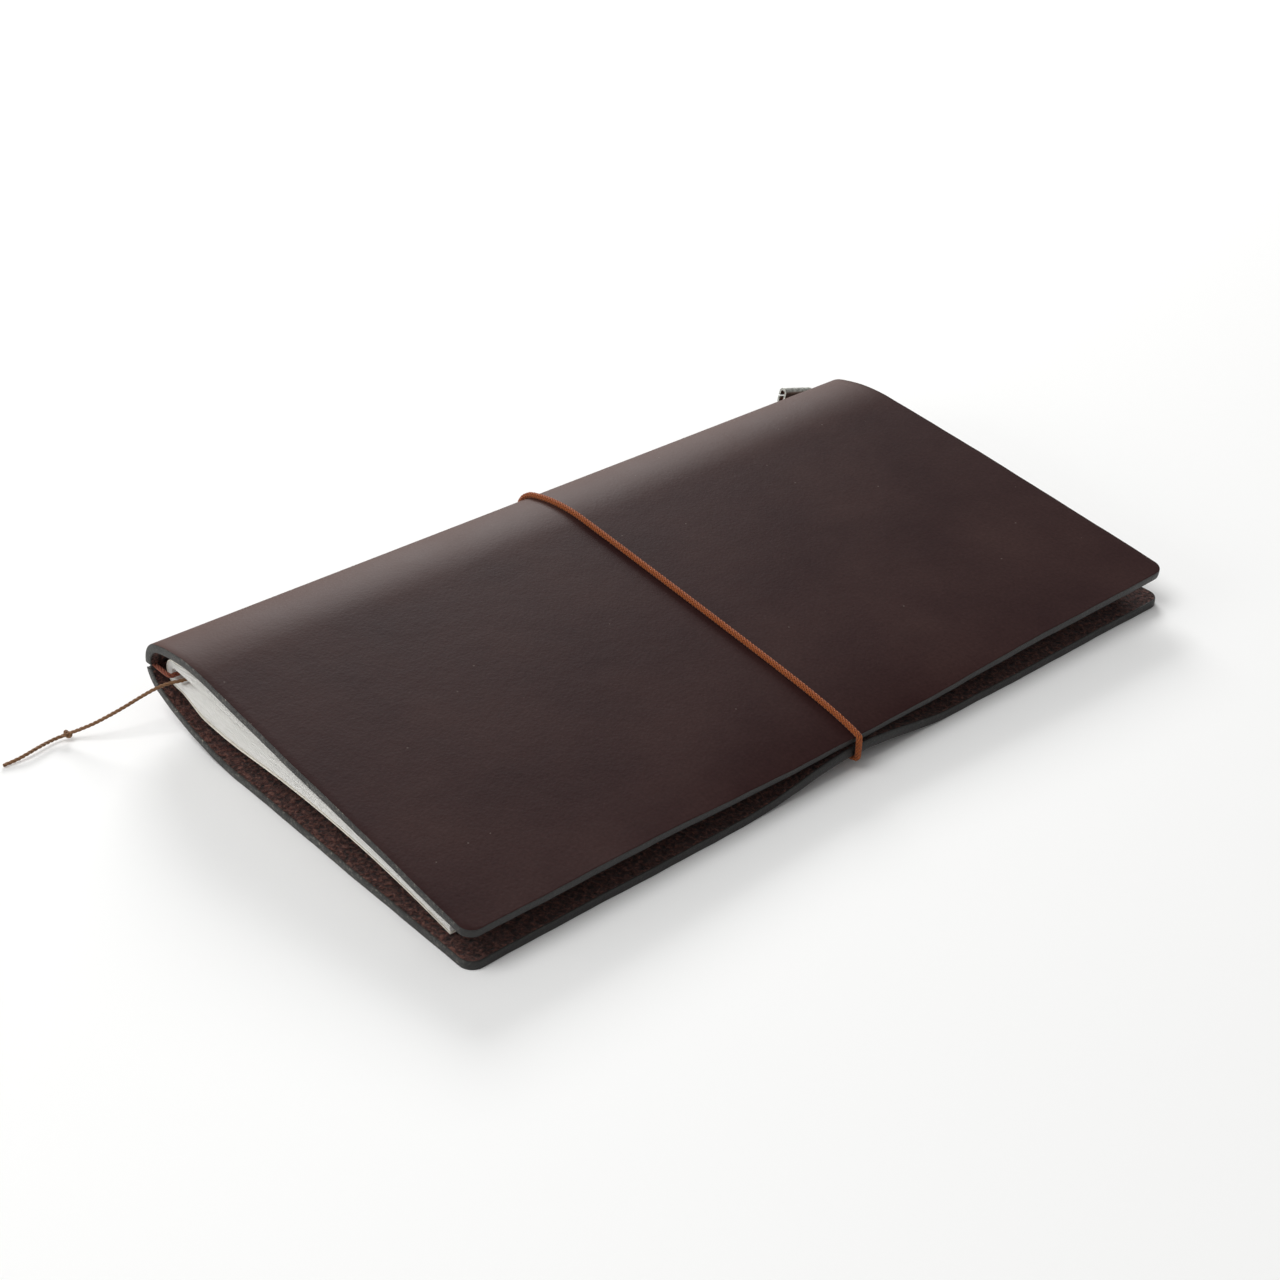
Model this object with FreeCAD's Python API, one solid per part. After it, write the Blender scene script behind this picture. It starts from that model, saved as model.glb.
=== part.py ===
import FreeCAD, Part
import math
import os

# Leather notebook cover, closed, with its paper refill. Millimetres.
# X runs from the spine to the fore-edge, Y from the tail to the head, Z up.
# The back cover lies on Z = 0 and the origin is under the middle of the cover.

V = FreeCAD.Vector

# The leather: one sheet folded round the refill, front cover uppermost.
COVER_HEIGHT = 220.0        # tail to head
COVER_WIDTH = 120.0         # spine to fore-edge, closed
LEATHER = 2.2               # thickness of the hide
CORNER_RADIUS = 3.5
SPINE_RADIUS = 7.3          # the tight part of the bend
SPINE_LOW_TURN = 23.0       # degrees turned when the tight bend starts
SPINE_HIGH_TURN = 163.0     # degrees turned when it ends
BACK_BEND_RADIUS = 85.0     # slow rise of the back cover towards the spine
FRONT_BEND_RADIUS = 46.0    # slow bend of the front cover behind the spine
FORE_EDGE_TOP = 10.4        # height of the front cover at its fore-edge corners
HEAD_DROP = 3.2             # the bend is this much lower at the head than at the tail
BODY_GAP = 0.3              # slit between leather pieces of two moving bodies
CLOSING_HOLE_DROP = 0.9     # the closing elastic's hole is this far below the spine's middle
STATION = 10.0              # spacing of the shape stations along Y
TRIM = 2.0                  # the sheet is shaped this much too large and cut to its outline
FACING = 0.5                # and this much too low where it is faced flat to lie on the ground

# How the closing elastic presses the two covers.
CORD_CLEARANCE = 0.2
ELASTIC = 1.6               # diameter of the closing elastic
BACK_PINCH = 1.85           # extra lift of the back cover's fore-edge at the elastic
BACK_PINCH_HALF_LENGTH = 34.0
FRONT_PINCH = 1.75          # dip of the front cover's fore-edge at the elastic
FRONT_PINCH_HALF_LENGTH = 80.0
PINCH_FADE = 8.0            # the pinch fades over this distance from the fore-edge

# The refill: folded sheets in a card cover, stapled through the fold.
REFILL_TAIL_MARGIN = 3.0    # from the cover's edges to the refill's
REFILL_HEAD_MARGIN = 7.0
REFILL_FORE_MARGIN = 10.0
SHEETS = 16
PAPER = 0.08
PAPER_PITCH = 0.12          # spacing of the sheets in the fold
CARD = 0.3
CARD_GAP = 0.05             # between the card and the sheets in the fold
FOLD_INSIDE = 1.4           # inner radius of the fold, round the elastic and the staples' ends
FOLD_CLEARANCE = 2.1        # from the fold to the inside of the spine
FOLD_BELOW_SPINE = 1.0      # the fold is this far under the middle of the spine
FOLD_DROP_SHARE = 0.5       # share of the spine's drop that the fold follows
LEAF_GAP = 0.2              # between a fold and its leaves, which move apart
FAN_LENGTH = 11.0           # the leaves fan out over this distance from the fold
AIR_BELOW_MIDDLE = 4.6      # space under the arched refill
AIR_BELOW_END = 0.4
AIR_ABOVE = 0.35            # space between the refill and the front cover
SPREAD_GAP = 0.15           # half of the gap between the two halves of the refill
SPREAD_OPENING = 0.95       # how much wider the gap is beside the fold
STAPLE_WIRE = 0.5
STAPLE_LENGTH = 12.0
STAPLE_INSET = 50.0         # from the refill's tail and head
STAPLE_GAP = 0.05           # between the crown and the card

# The cord that holds the refill, the tin clip that grips its ends, the bookmark.
HOLDER = 1.3                # diameter of the refill's elastic
HOLE_CLEARANCE = 0.15
STRAND_SPACING = 0.3        # leather between the two holes that lead to the clip
HEAD_HOLES_INSET = 3.4      # from the head to the holes that lead to the clip
HEAD_HOLES_DROP = 1.4       # from the fold down to the lower hole
TAIL_NOTCH_INSET = 1.5      # from the tail to the cord lying in the notch
TAIL_HOLE_INSET = 12.0
CLIP_LENGTH = 10.0
CLIP_HEIGHT = 4.8
CLIP_DEPTH = 2.8
CLIP_WALL = 0.6
CLIP_SEAM = 0.4
CLIP_ROUNDING = 1.2
CLIP_BELOW_HOLES = 2.0
CLIP_OUT = 6.0              # degrees that the clip leans away from the spine
CLIP_UP = 14.0              # degrees that its open end is raised
BOOKMARK = 0.9
BOOKMARK_KNOT = 2.5
BOOKMARK_FROM_FOLD = 3.0    # the bookmark lies this far from the fold line
KNOT_OVERLAP = 0.1          # the closing elastic's knot is this much wider than its hole
KNOT_THICKNESS = 1.1
KNOT_FROM_WALL = 0.9

os.makedirs("parts", exist_ok=True)

SPINE_X = -COVER_WIDTH / 2
FORE_X = COVER_WIDTH / 2
TAIL_Y = -COVER_HEIGHT / 2
HEAD_Y = COVER_HEIGHT / 2
ARCH = ELASTIC + 1.5 * CORD_CLEARANCE   # room for the elastic under the back cover
REFILL_TAIL = TAIL_Y + REFILL_TAIL_MARGIN
REFILL_HEAD = HEAD_Y - REFILL_HEAD_MARGIN
REFILL_FORE_EDGE = FORE_X - REFILL_FORE_MARGIN
CARD_INSIDE = FOLD_INSIDE + SHEETS * PAPER_PITCH + CARD_GAP
FOLD_X = SPINE_X + LEATHER + FOLD_CLEARANCE + CARD_INSIDE + CARD    # centre line of the fold


def smooth(value):
    """Smooth step from 0 to 1."""
    value = min(1.0, max(0.0, value))
    return value * value * (3 - 2 * value)


def bell(y, half_length):
    """1 at y = 0, falling smoothly to 0 at the half length."""
    if abs(y) >= half_length:
        return 0.0
    return math.cos(math.pi * y / (2 * half_length)) ** 2


def stations(start, end, step):
    """Even stations no further apart than step."""
    count = max(1, math.ceil(abs(end - start) / step))
    return [start + (end - start) * i / count for i in range(count + 1)]


# ---- The outer profile of the folded sheet, seen along Y -------------------
# The heading is 0 where the back cover runs towards the spine, 90 degrees at the
# spine's outermost line and 180 where the front cover is level.

LOW = math.radians(SPINE_LOW_TURN)
HIGH = math.radians(SPINE_HIGH_TURN)
BACK_BEND_X = SPINE_X + BACK_BEND_RADIUS * math.sin(LOW) + SPINE_RADIUS * (1 - math.sin(LOW))
SPINE_Z = BACK_BEND_RADIUS * (1 - math.cos(LOW)) + SPINE_RADIUS * math.cos(LOW)
SPINE_CENTRE_X = SPINE_X + SPINE_RADIUS
PEAK_X = SPINE_CENTRE_X + (FRONT_BEND_RADIUS - SPINE_RADIUS) * math.sin(HIGH)
PEAK_Z = SPINE_Z - SPINE_RADIUS * math.cos(HIGH) + FRONT_BEND_RADIUS * (1 + math.cos(HIGH))


FOLD_Z_TAIL = SPINE_Z - FOLD_BELOW_SPINE
FOLD_DROP = FOLD_DROP_SHARE * HEAD_DROP


def front_slope():
    """Angle at which the front cover runs down from its bend to its fore-edge."""
    low, high = 0.0, math.radians(30)
    for _ in range(50):
        slope = (low + high) / 2
        x = PEAK_X + FRONT_BEND_RADIUS * math.sin(slope)
        z = PEAK_Z - FRONT_BEND_RADIUS * (1 - math.cos(slope))
        if z - (FORE_X - x) * math.tan(slope) > FORE_EDGE_TOP:
            low = slope
        else:
            high = slope
    return slope


SLOPE = front_slope()
FRONT_BEND_X = PEAK_X + FRONT_BEND_RADIUS * math.sin(SLOPE)
FRONT_BEND_Z = PEAK_Z - FRONT_BEND_RADIUS * (1 - math.cos(SLOPE))

# Runs of the profile: length, then curvature. Added up they give its whole length.
RUNS = [
    (FORE_X - BACK_BEND_X, 0.0),
    (BACK_BEND_RADIUS * LOW, 1 / BACK_BEND_RADIUS),
    (SPINE_RADIUS * (HIGH - LOW), 1 / SPINE_RADIUS),
    (FRONT_BEND_RADIUS * (math.pi + SLOPE - HIGH), 1 / FRONT_BEND_RADIUS),
    ((FORE_X - FRONT_BEND_X) / math.cos(SLOPE), 0.0),
]
PROFILE_LENGTH = sum(length for length, _ in RUNS)


def on_profile(distance):
    """Point (x, z) at this distance along the profile from the back fore-edge."""
    x, z, heading = FORE_X, 0.0, 0.0
    for number, (length, curvature) in enumerate(RUNS):
        step = distance if number == len(RUNS) - 1 else min(length, distance)
        if curvature:
            turned = heading + step * curvature
            x -= (math.sin(turned) - math.sin(heading)) / curvature
            z -= (math.cos(turned) - math.cos(heading)) / curvature
            heading = turned
        else:
            x -= step * math.cos(heading)
            z += step * math.sin(heading)
        distance -= step
        if distance <= 0:
            break
    return x, z


def distance_at_heading(degrees):
    """Distance along the profile at which the tight bend has this heading."""
    return RUNS[0][0] + RUNS[1][0] + SPINE_RADIUS * (math.radians(degrees) - LOW)


def head_drop(x, z, y):
    """How much lower the sheet lies at y than at the tail."""
    along = (y - TAIL_Y) / COVER_HEIGHT
    return HEAD_DROP * along * (z / PEAK_Z) * (FORE_X - x) / (FORE_X - PEAK_X)


def back_lift(x, y):
    """How much the elastic lifts the back cover off the ground."""
    fade = smooth((x - (BACK_BEND_X - 28)) / 22)
    pinch = BACK_PINCH * math.exp(-(FORE_X - x) / PINCH_FADE)
    return (ARCH * fade + pinch) * bell(y, BACK_PINCH_HALF_LENGTH)


def front_dip(x, y):
    """How much the elastic presses the front cover down."""
    return FRONT_PINCH * math.exp(-(FORE_X - x) / PINCH_FADE) * bell(y, FRONT_PINCH_HALF_LENGTH)


HALF_WAY = distance_at_heading(90)


def outer(distance, y):
    """Point on the outside of the leather."""
    x, z = on_profile(distance)
    z -= head_drop(x, z, y)
    if distance < HALF_WAY:
        z += back_lift(x, y)
    else:
        z -= front_dip(x, y)
    return V(x, y, z)


def inward(distance, y):
    """Unit vector from the outside of the leather towards its inside."""
    step = 0.01
    along = outer(distance + step, y) - outer(distance - step, y)
    across = outer(distance, y + step) - outer(distance, y - step)
    normal = across.cross(along)
    return normal.normalize()


def in_leather(distance, y, depth):
    """Point at this depth under the outside of the leather."""
    return outer(distance, y) + inward(distance, y) * depth


# ---- Solids ---------------------------------------------------------------

def closed_solid(faces):
    """Sew faces into a solid with outward normals."""
    shell = Part.makeShell(faces)
    shell.sewShape()
    solid = Part.makeSolid(shell)
    if solid.Volume < 0:
        shell.reverse()
        solid = Part.makeSolid(shell)
    return solid


def sheet_solid(point, us, vs):
    """Solid between the surfaces point(u, v, 0) and point(u, v, 1)."""
    skins = []
    for side in (0, 1):
        surface = Part.BSplineSurface()
        surface.interpolate([[point(u, v, side) for v in vs] for u in us])
        skins.append(surface)
    faces = [skin.toShape() for skin in skins]
    ends = [
        (skins[0].uIso, skins[1].uIso, skins[0].bounds()[0], skins[1].bounds()[0]),
        (skins[0].uIso, skins[1].uIso, skins[0].bounds()[1], skins[1].bounds()[1]),
        (skins[0].vIso, skins[1].vIso, skins[0].bounds()[2], skins[1].bounds()[2]),
        (skins[0].vIso, skins[1].vIso, skins[0].bounds()[3], skins[1].bounds()[3]),
    ]
    for first, second, at_first, at_second in ends:
        faces.append(Part.makeRuledSurface(first(at_first).toShape(), second(at_second).toShape()))
    return closed_solid(faces)


def rounded_plate(x0, x1, y0, y1, z0, z1, radius):
    """Block whose two corners at x1 are rounded, to trim a cover's outline."""
    block = Part.makeBox(x1 - x0, y1 - y0, z1 - z0, V(x0, y0, z0))
    corners = [
        edge for edge in block.Edges
        if abs(edge.BoundBox.XMin - x1) < 1e-6 and edge.BoundBox.ZLength > (z1 - z0) / 2
    ]
    return block.makeFillet(radius, corners)


def cord_wire(points, radii):
    """Straight runs joined by tangent arcs. radii gives the arcs that go round an edge."""
    edges, used, last = [], [], points[0]
    for i in range(1, len(points) - 1):
        before, corner, after = points[i - 1:i + 2]
        arrive = (corner - before).normalize()
        leave = (after - corner).normalize()
        half = arrive.getAngle(leave) / 2
        if half < 1e-4:
            continue
        shorter = min((corner - before).Length, (after - corner).Length)
        radius = radii.get(i, 0.45 * shorter / math.tan(half))
        back = radius * math.tan(half)
        start, end = corner - arrive * back, corner + leave * back
        middle = corner + (leave - arrive).normalize() * (radius / math.cos(half) - radius)
        edges.append(Part.LineSegment(last, start).toShape())
        edges.append(Part.Arc(start, middle, end).toShape())
        used.append(radius)
        last = end
    edges.append(Part.LineSegment(last, points[-1]).toShape())
    return Part.Wire(edges), used


def cord(name, points, diameter, radii=None):
    """Round cord along a route."""
    wire, used = cord_wire(points, radii or {})
    ring = Part.Wire(Part.makeCircle(diameter / 2, points[0], points[1] - points[0]))
    solid = wire.makePipeShell([ring], True, False)
    section = math.pi * diameter ** 2 / 4
    print(name, "length %.1f" % wire.Length, "radii", ["%.1f" % radius for radius in used],
          "volume/section*length %.4f" % (solid.Volume / (section * wire.Length)))
    return solid


def export(name, shape):
    """Write one node."""
    if not shape.isValid():
        print(name, "is not valid")
    if shape.ShapeType == "Compound" and len(shape.Solids) == 1:
        shape = shape.Solids[0]
    print("%-22s %d solid(s) %10.2f mm3" % (name, len(shape.Solids), shape.Volume))
    shape.exportStep("parts/" + name + ".step")


# ---- The leather, in three pieces that meet at the two fold lines -----------

def leather_point(distance, y, side):
    point = in_leather(distance, y, LEATHER * side)
    if side == 0 and distance < LOW_FOLD:
        away = smooth((point.x - BACK_BEND_X + 20) / 20)
        point.z -= FACING * away * (1 - bell(y, BACK_PINCH_HALF_LENGTH))
    return point


def leather_piece(start, end, step):
    ys = stations(TAIL_Y - TRIM, HEAD_Y + TRIM, STATION)
    return sheet_solid(leather_point, stations(start, end, step), ys).common(OUTLINE).cut(GROUND)


LOW_FOLD = distance_at_heading(45)
HIGH_FOLD = distance_at_heading(135)
OUTLINE = rounded_plate(SPINE_X - 20, FORE_X, TAIL_Y, HEAD_Y, -10, PEAK_Z + 20, CORNER_RADIUS)
GROUND = Part.makeBox(4 * COVER_WIDTH, 4 * COVER_HEIGHT, 20, V(-2 * COVER_WIDTH, -2 * COVER_HEIGHT, -20))


def hole(y, z, radius):
    """Round hole through the spine."""
    return Part.makeCylinder(radius, 4 * LEATHER, V(SPINE_X - LEATHER, y, z), V(1, 0, 0))


def spine_z(y):
    """Height of the spine's outermost line."""
    return outer(HALF_WAY, y).z


back_cover_leather = leather_piece(-TRIM, LOW_FOLD - BODY_GAP / 2, 5.0)
front_cover_leather = leather_piece(HIGH_FOLD + BODY_GAP / 2, PROFILE_LENGTH + TRIM, 5.0)

HEAD_HOLES_Y = HEAD_Y - HEAD_HOLES_INSET
TAIL_NOTCH_Y = TAIL_Y + TAIL_NOTCH_INSET
TAIL_HOLE_Y = TAIL_Y + TAIL_HOLE_INSET
holder_hole = HOLDER / 2 + HOLE_CLEARANCE
STRANDS_APART = 2 * holder_hole + STRAND_SPACING
HEAD_LOW_Z = FOLD_Z_TAIL - FOLD_DROP - HEAD_HOLES_DROP
HEAD_HIGH_Z = HEAD_LOW_Z + STRANDS_APART
TAIL_Z = FOLD_Z_TAIL
TAIL_HIGH_Z = TAIL_Z + STRANDS_APART

spine_leather = leather_piece(LOW_FOLD + BODY_GAP / 2, HIGH_FOLD - BODY_GAP / 2, 1.5)
CLOSING_Z = spine_z(0) - CLOSING_HOLE_DROP
strand = ELASTIC / 2 + 0.05
closing_hole_radius = strand + ELASTIC / 2 + HOLE_CLEARANCE
closing_hole = hole(0, CLOSING_Z, closing_hole_radius)
notch = hole(TAIL_NOTCH_Y, TAIL_Z, holder_hole).fuse(
    Part.makeBox(4 * LEATHER, TAIL_NOTCH_INSET + 1, 2 * holder_hole,
                 V(SPINE_X - LEATHER, TAIL_Y - 1, TAIL_Z - holder_hole)))
for cutter in (closing_hole, notch, hole(TAIL_HOLE_Y, TAIL_HIGH_Z, holder_hole),
               hole(HEAD_HOLES_Y, HEAD_LOW_Z, holder_hole), hole(HEAD_HOLES_Y, HEAD_HIGH_Z, holder_hole)):
    spine_leather = spine_leather.cut(cutter)

export("back_cover_leather", back_cover_leather)
export("spine_leather", spine_leather)
export("front_cover_leather", front_cover_leather)


# ---- The refill --------------------------------------------------------------

def back_inside(x, y):
    """Height of the inside of the back cover."""
    rise = BACK_BEND_X - x
    z = BACK_BEND_RADIUS - math.sqrt(BACK_BEND_RADIUS ** 2 - rise ** 2) if rise > 0 else 0.0
    steep = BACK_BEND_RADIUS / math.sqrt(BACK_BEND_RADIUS ** 2 - max(rise, 0) ** 2)
    return z - head_drop(x, z, y) + back_lift(x, y) + LEATHER * steep


def front_inside(x, y):
    """Height of the inside of the front cover."""
    if x > FRONT_BEND_X:
        z = FRONT_BEND_Z - (x - FRONT_BEND_X) * math.tan(SLOPE)
        steep = 1 / math.cos(SLOPE)
    else:
        across = math.sqrt(FRONT_BEND_RADIUS ** 2 - (x - PEAK_X) ** 2)
        z = PEAK_Z - FRONT_BEND_RADIUS + across
        steep = FRONT_BEND_RADIUS / across
    return z - head_drop(x, z, y) - front_dip(x, y) - LEATHER * steep


def refill_bottom(x, y):
    """The refill arches over the back cover, less so where the elastic presses it."""
    middle = (SPINE_X + 12 + REFILL_FORE_EDGE) / 2
    across = (x - middle) / (REFILL_FORE_EDGE - middle)
    air = AIR_BELOW_END + (AIR_BELOW_MIDDLE - AIR_BELOW_END) * max(0.0, 1 - across ** 2)
    return back_inside(x, y) + air * (1 - 0.55 * bell(y, FRONT_PINCH_HALF_LENGTH))


def refill_top(x, y):
    return front_inside(x, y) - AIR_ABOVE


LEAF_START = FOLD_X + LEAF_GAP


def fold_z(y):
    return FOLD_Z_TAIL - FOLD_DROP * (y - REFILL_TAIL) / (REFILL_HEAD - REFILL_TAIL)


def spread(x, y):
    """Height of the middle of the refill, between its two halves."""
    away = smooth((x - LEAF_START) / FAN_LENGTH)
    return fold_z(y) * (1 - away) + (refill_bottom(x, y) + refill_top(x, y)) / 2 * away


def half_gap(x):
    return SPREAD_GAP + SPREAD_OPENING * math.exp(-(x - FOLD_X) / 5.0)


def layer(x, y, side, in_fold, share, thickness):
    """Height of a leaf's or card's face towards the spread: packed in the fold, fanned out beyond it.

    side is -1 in the back half and 1 in the front half. share is 0 beside the
    spread and 1 at the outside of the refill.
    """
    outside = refill_bottom(x, y) if side < 0 else refill_top(x, y)
    if share < 1:
        outside -= side * (CARD + PAPER_PITCH - PAPER)
    away = smooth((x - LEAF_START) / FAN_LENGTH)
    packed = fold_z(y) + side * in_fold
    inner = spread(x, y) + side * half_gap(x)
    fanned = inner + (outside - side * thickness - inner) * share
    return packed * (1 - away) + fanned * away


def leaf(side, in_fold, share, thickness):
    """One leaf or card: a curved face raised by its thickness."""
    xs = [LEAF_START, LEAF_START + 2.5, LEAF_START + 5] + stations(LEAF_START + 8, REFILL_FORE_EDGE, 10.0)
    ys = stations(REFILL_TAIL, REFILL_HEAD, STATION)
    face = Part.BSplineSurface()
    face.interpolate([[V(x, y, layer(x, y, side, in_fold, share, thickness)) for y in ys] for x in xs])
    return face.toShape().extrude(V(0, 0, side * thickness))


def fold(inside, thickness):
    """Half ring round the fold line, open towards the fore-edge."""
    wires = []
    for y in (REFILL_TAIL, REFILL_HEAD):
        z = fold_z(y)
        out = inside + thickness
        wires.append(Part.Wire([
            Part.Arc(V(FOLD_X, y, z + out), V(FOLD_X - out, y, z), V(FOLD_X, y, z - out)).toShape(),
            Part.LineSegment(V(FOLD_X, y, z - out), V(FOLD_X, y, z - inside)).toShape(),
            Part.Arc(V(FOLD_X, y, z - inside), V(FOLD_X - inside, y, z), V(FOLD_X, y, z + inside)).toShape(),
            Part.LineSegment(V(FOLD_X, y, z + inside), V(FOLD_X, y, z + out)).toShape(),
        ]))
    return Part.makeLoft(wires, True, True)


for name, side in (("back", -1), ("front", 1)):
    for number in range(SHEETS):
        export("sheet_%02d_%s_leaf" % (number + 1, name),
               leaf(side, FOLD_INSIDE + number * PAPER_PITCH, (number + 0.3) / (SHEETS + 0.6), PAPER))
    export("refill_card_" + name, leaf(side, CARD_INSIDE, 1.0, CARD))

export("sheet_folds", Part.makeCompound(
    [fold(FOLD_INSIDE + number * PAPER_PITCH, PAPER) for number in range(SHEETS)]))
export("refill_card_fold", fold(CARD_INSIDE, CARD))


def staple(y):
    """Wire staple: crown outside the card, legs through the fold, ends turned in."""
    z = fold_z(y)
    crown_x = FOLD_X - CARD_INSIDE - CARD - STAPLE_WIRE / 2 - STAPLE_GAP
    end_x = FOLD_X - FOLD_INSIDE + STAPLE_WIRE / 2 - 0.1
    half = STAPLE_LENGTH / 2
    reach = 0.3 * STAPLE_LENGTH
    bend = STAPLE_WIRE
    route = [V(end_x, y - half + reach, z), V(end_x, y - half, z), V(crown_x, y - half, z),
             V(crown_x, y + half, z), V(end_x, y + half, z), V(end_x, y + half - reach, z)]
    return cord("staple", route, STAPLE_WIRE, {1: bend, 2: bend, 3: bend, 4: bend})


export("staples", Part.makeCompound(
    [staple(REFILL_TAIL + STAPLE_INSET), staple(REFILL_HEAD - STAPLE_INSET)]))


# ---- The closing elastic and its knot ------------------------------------------

def round_cover(distance):
    """Point where the elastic's centre line passes over the leather."""
    return in_leather(distance, 0, -(ELASTIC / 2 + CORD_CLEARANCE))


out_of_hole = SPINE_X - ELASTIC / 2 - CORD_CLEARANCE
inside_wall = SPINE_X + LEATHER
edge_x = FORE_X + ELASTIC / 2 + CORD_CLEARANCE
back_edge_z = outer(0, 0).z - ELASTIC / 2 - CORD_CLEARANCE
front_edge_z = outer(PROFILE_LENGTH, 0).z + ELASTIC / 2 + CORD_CLEARANCE
bend_end = PROFILE_LENGTH - RUNS[4][0]
under = [distance_at_heading(d) for d in (52, 32)] + stations(RUNS[0][0] + 29, RUNS[0][0] - 6, 5.0)
under += stations(RUNS[0][0] - 22, 12.0, 16.0) + [6.0]
over = [distance_at_heading(d) for d in (112, 130, 148)]
over += stations(bend_end - 18, bend_end + 4, 4.5) + stations(bend_end + 20, PROFILE_LENGTH - 12.0, 16.0)
over += [PROFILE_LENGTH - 6.0]
knot_x = inside_wall + KNOT_FROM_WALL
elastic_end_x = knot_x + 0.8 * KNOT_THICKNESS
elastic_route = [V(elastic_end_x, 0, CLOSING_Z - strand), V(out_of_hole, 0, CLOSING_Z - strand)]
elastic_route += [round_cover(distance) for distance in under]
elastic_route += [V(edge_x, 0, back_edge_z), V(edge_x, 0, front_edge_z)]
elastic_route += [round_cover(distance) for distance in reversed(over)]
elastic_route += [V(out_of_hole, 0, CLOSING_Z + strand), V(elastic_end_x, 0, CLOSING_Z + strand)]
last = len(elastic_route) - 1
edge = elastic_route.index(V(edge_x, 0, back_edge_z))
tight = ELASTIC / 2 + CORD_CLEARANCE
closure_elastic = cord("closure_elastic", elastic_route, ELASTIC,
                       {1: tight, last - 1: tight, edge: tight, edge + 1: tight})
export("closure_elastic", closure_elastic)

knot = Part.makeCylinder(closing_hole_radius + KNOT_OVERLAP, KNOT_THICKNESS, V(knot_x, 0, CLOSING_Z), V(1, 0, 0))
knot = knot.makeFillet(0.45 * KNOT_THICKNESS, knot.Edges)
export("closure_elastic_knot", knot.cut(closure_elastic))


# ---- The refill's elastic, with both ends in the tin clip ------------------------

clip_x = SPINE_X - CORD_CLEARANCE - HOLDER
clip_turn = V(clip_x, HEAD_HOLES_Y, (HEAD_LOW_Z + HEAD_HIGH_Z) / 2)
wall_depth = LEATHER + HOLDER / 2 + CORD_CLEARANCE
wall_line = distance_at_heading(118)
outside_x = SPINE_X - HOLDER / 2 - CORD_CLEARANCE
turn = HOLDER


def in_clip(shape):
    """Move a shape or point made along -Y from the origin to where the clip hangs."""
    placing = FreeCAD.Placement(clip_turn, FreeCAD.Rotation(V(0, 0, 1), -CLIP_OUT))
    placing = placing.multiply(FreeCAD.Placement(V(0, 0, 0), FreeCAD.Rotation(V(1, 0, 0), -CLIP_UP)))
    if isinstance(shape, FreeCAD.Vector):
        return placing.multVec(shape)
    shape.Placement = placing
    return shape


def beside_wall(y, z):
    """Point of a strand that lies against the inside of the spine at this height."""
    wall = math.sqrt((SPINE_RADIUS - LEATHER) ** 2 - (z - spine_z(y)) ** 2)
    return V(SPINE_CENTRE_X - wall + HOLDER / 2 + CORD_CLEARANCE, y, z)


cord_end = CLIP_BELOW_HOLES + CLIP_LENGTH - 1.0
half_apart = STRANDS_APART / 2
wall_head = in_leather(wall_line, HEAD_HOLES_Y - 9, wall_depth)
wall_tail = in_leather(wall_line, TAIL_HOLE_Y + 8, wall_depth)
holder_route = [
    in_clip(V(0, -cord_end, -half_apart)),
    V(clip_x, HEAD_HOLES_Y, HEAD_LOW_Z),
    beside_wall(HEAD_HOLES_Y, HEAD_LOW_Z),
    V(FOLD_X, HEAD_HOLES_Y, fold_z(REFILL_HEAD)),
    V(FOLD_X, TAIL_NOTCH_Y, fold_z(REFILL_TAIL)),
    V(outside_x, TAIL_NOTCH_Y, TAIL_Z),
    V(outside_x, TAIL_HOLE_Y, TAIL_HIGH_Z),
    beside_wall(TAIL_HOLE_Y, TAIL_HIGH_Z),
    wall_tail,
    wall_head,
    beside_wall(HEAD_HOLES_Y, HEAD_HIGH_Z),
    V(clip_x, HEAD_HOLES_Y, HEAD_HIGH_Z),
    in_clip(V(0, -cord_end, half_apart)),
]
holder_radii = {1: turn, 2: turn, 3: turn, 4: 0.9, 5: 0.7, 6: 0.7, 7: 0.8, 10: 0.8, 11: turn}
export("refill_elastic", cord("refill_elastic", holder_route, HOLDER, holder_radii))


def spine_clip():
    """Tin strip folded into a flat tube round the two cord ends."""
    near, far = -CLIP_BELOW_HOLES, -CLIP_BELOW_HOLES - CLIP_LENGTH

    def tube(depth, height, beyond, rounding):
        block = Part.makeBox(depth, near - far + 2 * beyond, height, V(-depth / 2, far - beyond, -height / 2))
        return block.makeFillet(rounding, [e for e in block.Edges if e.BoundBox.YLength > CLIP_LENGTH / 2])

    outside = tube(CLIP_DEPTH, CLIP_HEIGHT, 0, CLIP_ROUNDING)
    inside = tube(CLIP_DEPTH - 2 * CLIP_WALL, CLIP_HEIGHT - 2 * CLIP_WALL, 1, CLIP_ROUNDING - CLIP_WALL)
    seam = Part.makeBox(2 * CLIP_WALL, CLIP_LENGTH + 2, CLIP_SEAM,
                        V(-CLIP_DEPTH / 2 - CLIP_WALL, far - 1, -CLIP_SEAM / 2))
    return in_clip(outside.cut(inside).cut(seam))


export("spine_clip", spine_clip())


# ---- The bookmark ----------------------------------------------------------------

MARK_X = FOLD_X + BOOKMARK_FROM_FOLD


def on_spread(y):
    """The bookmark lies on the back half of the refill, beside the fold."""
    return V(MARK_X, y, spread(MARK_X, y) - half_gap(MARK_X) * 0.25)


exit_point = on_spread(REFILL_TAIL)
held = [on_spread(y) for y in stations(REFILL_HEAD - 3, REFILL_TAIL + 6, 20.0)] + [exit_point]
export("bookmark_held", cord("bookmark_held", held, BOOKMARK))

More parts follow.
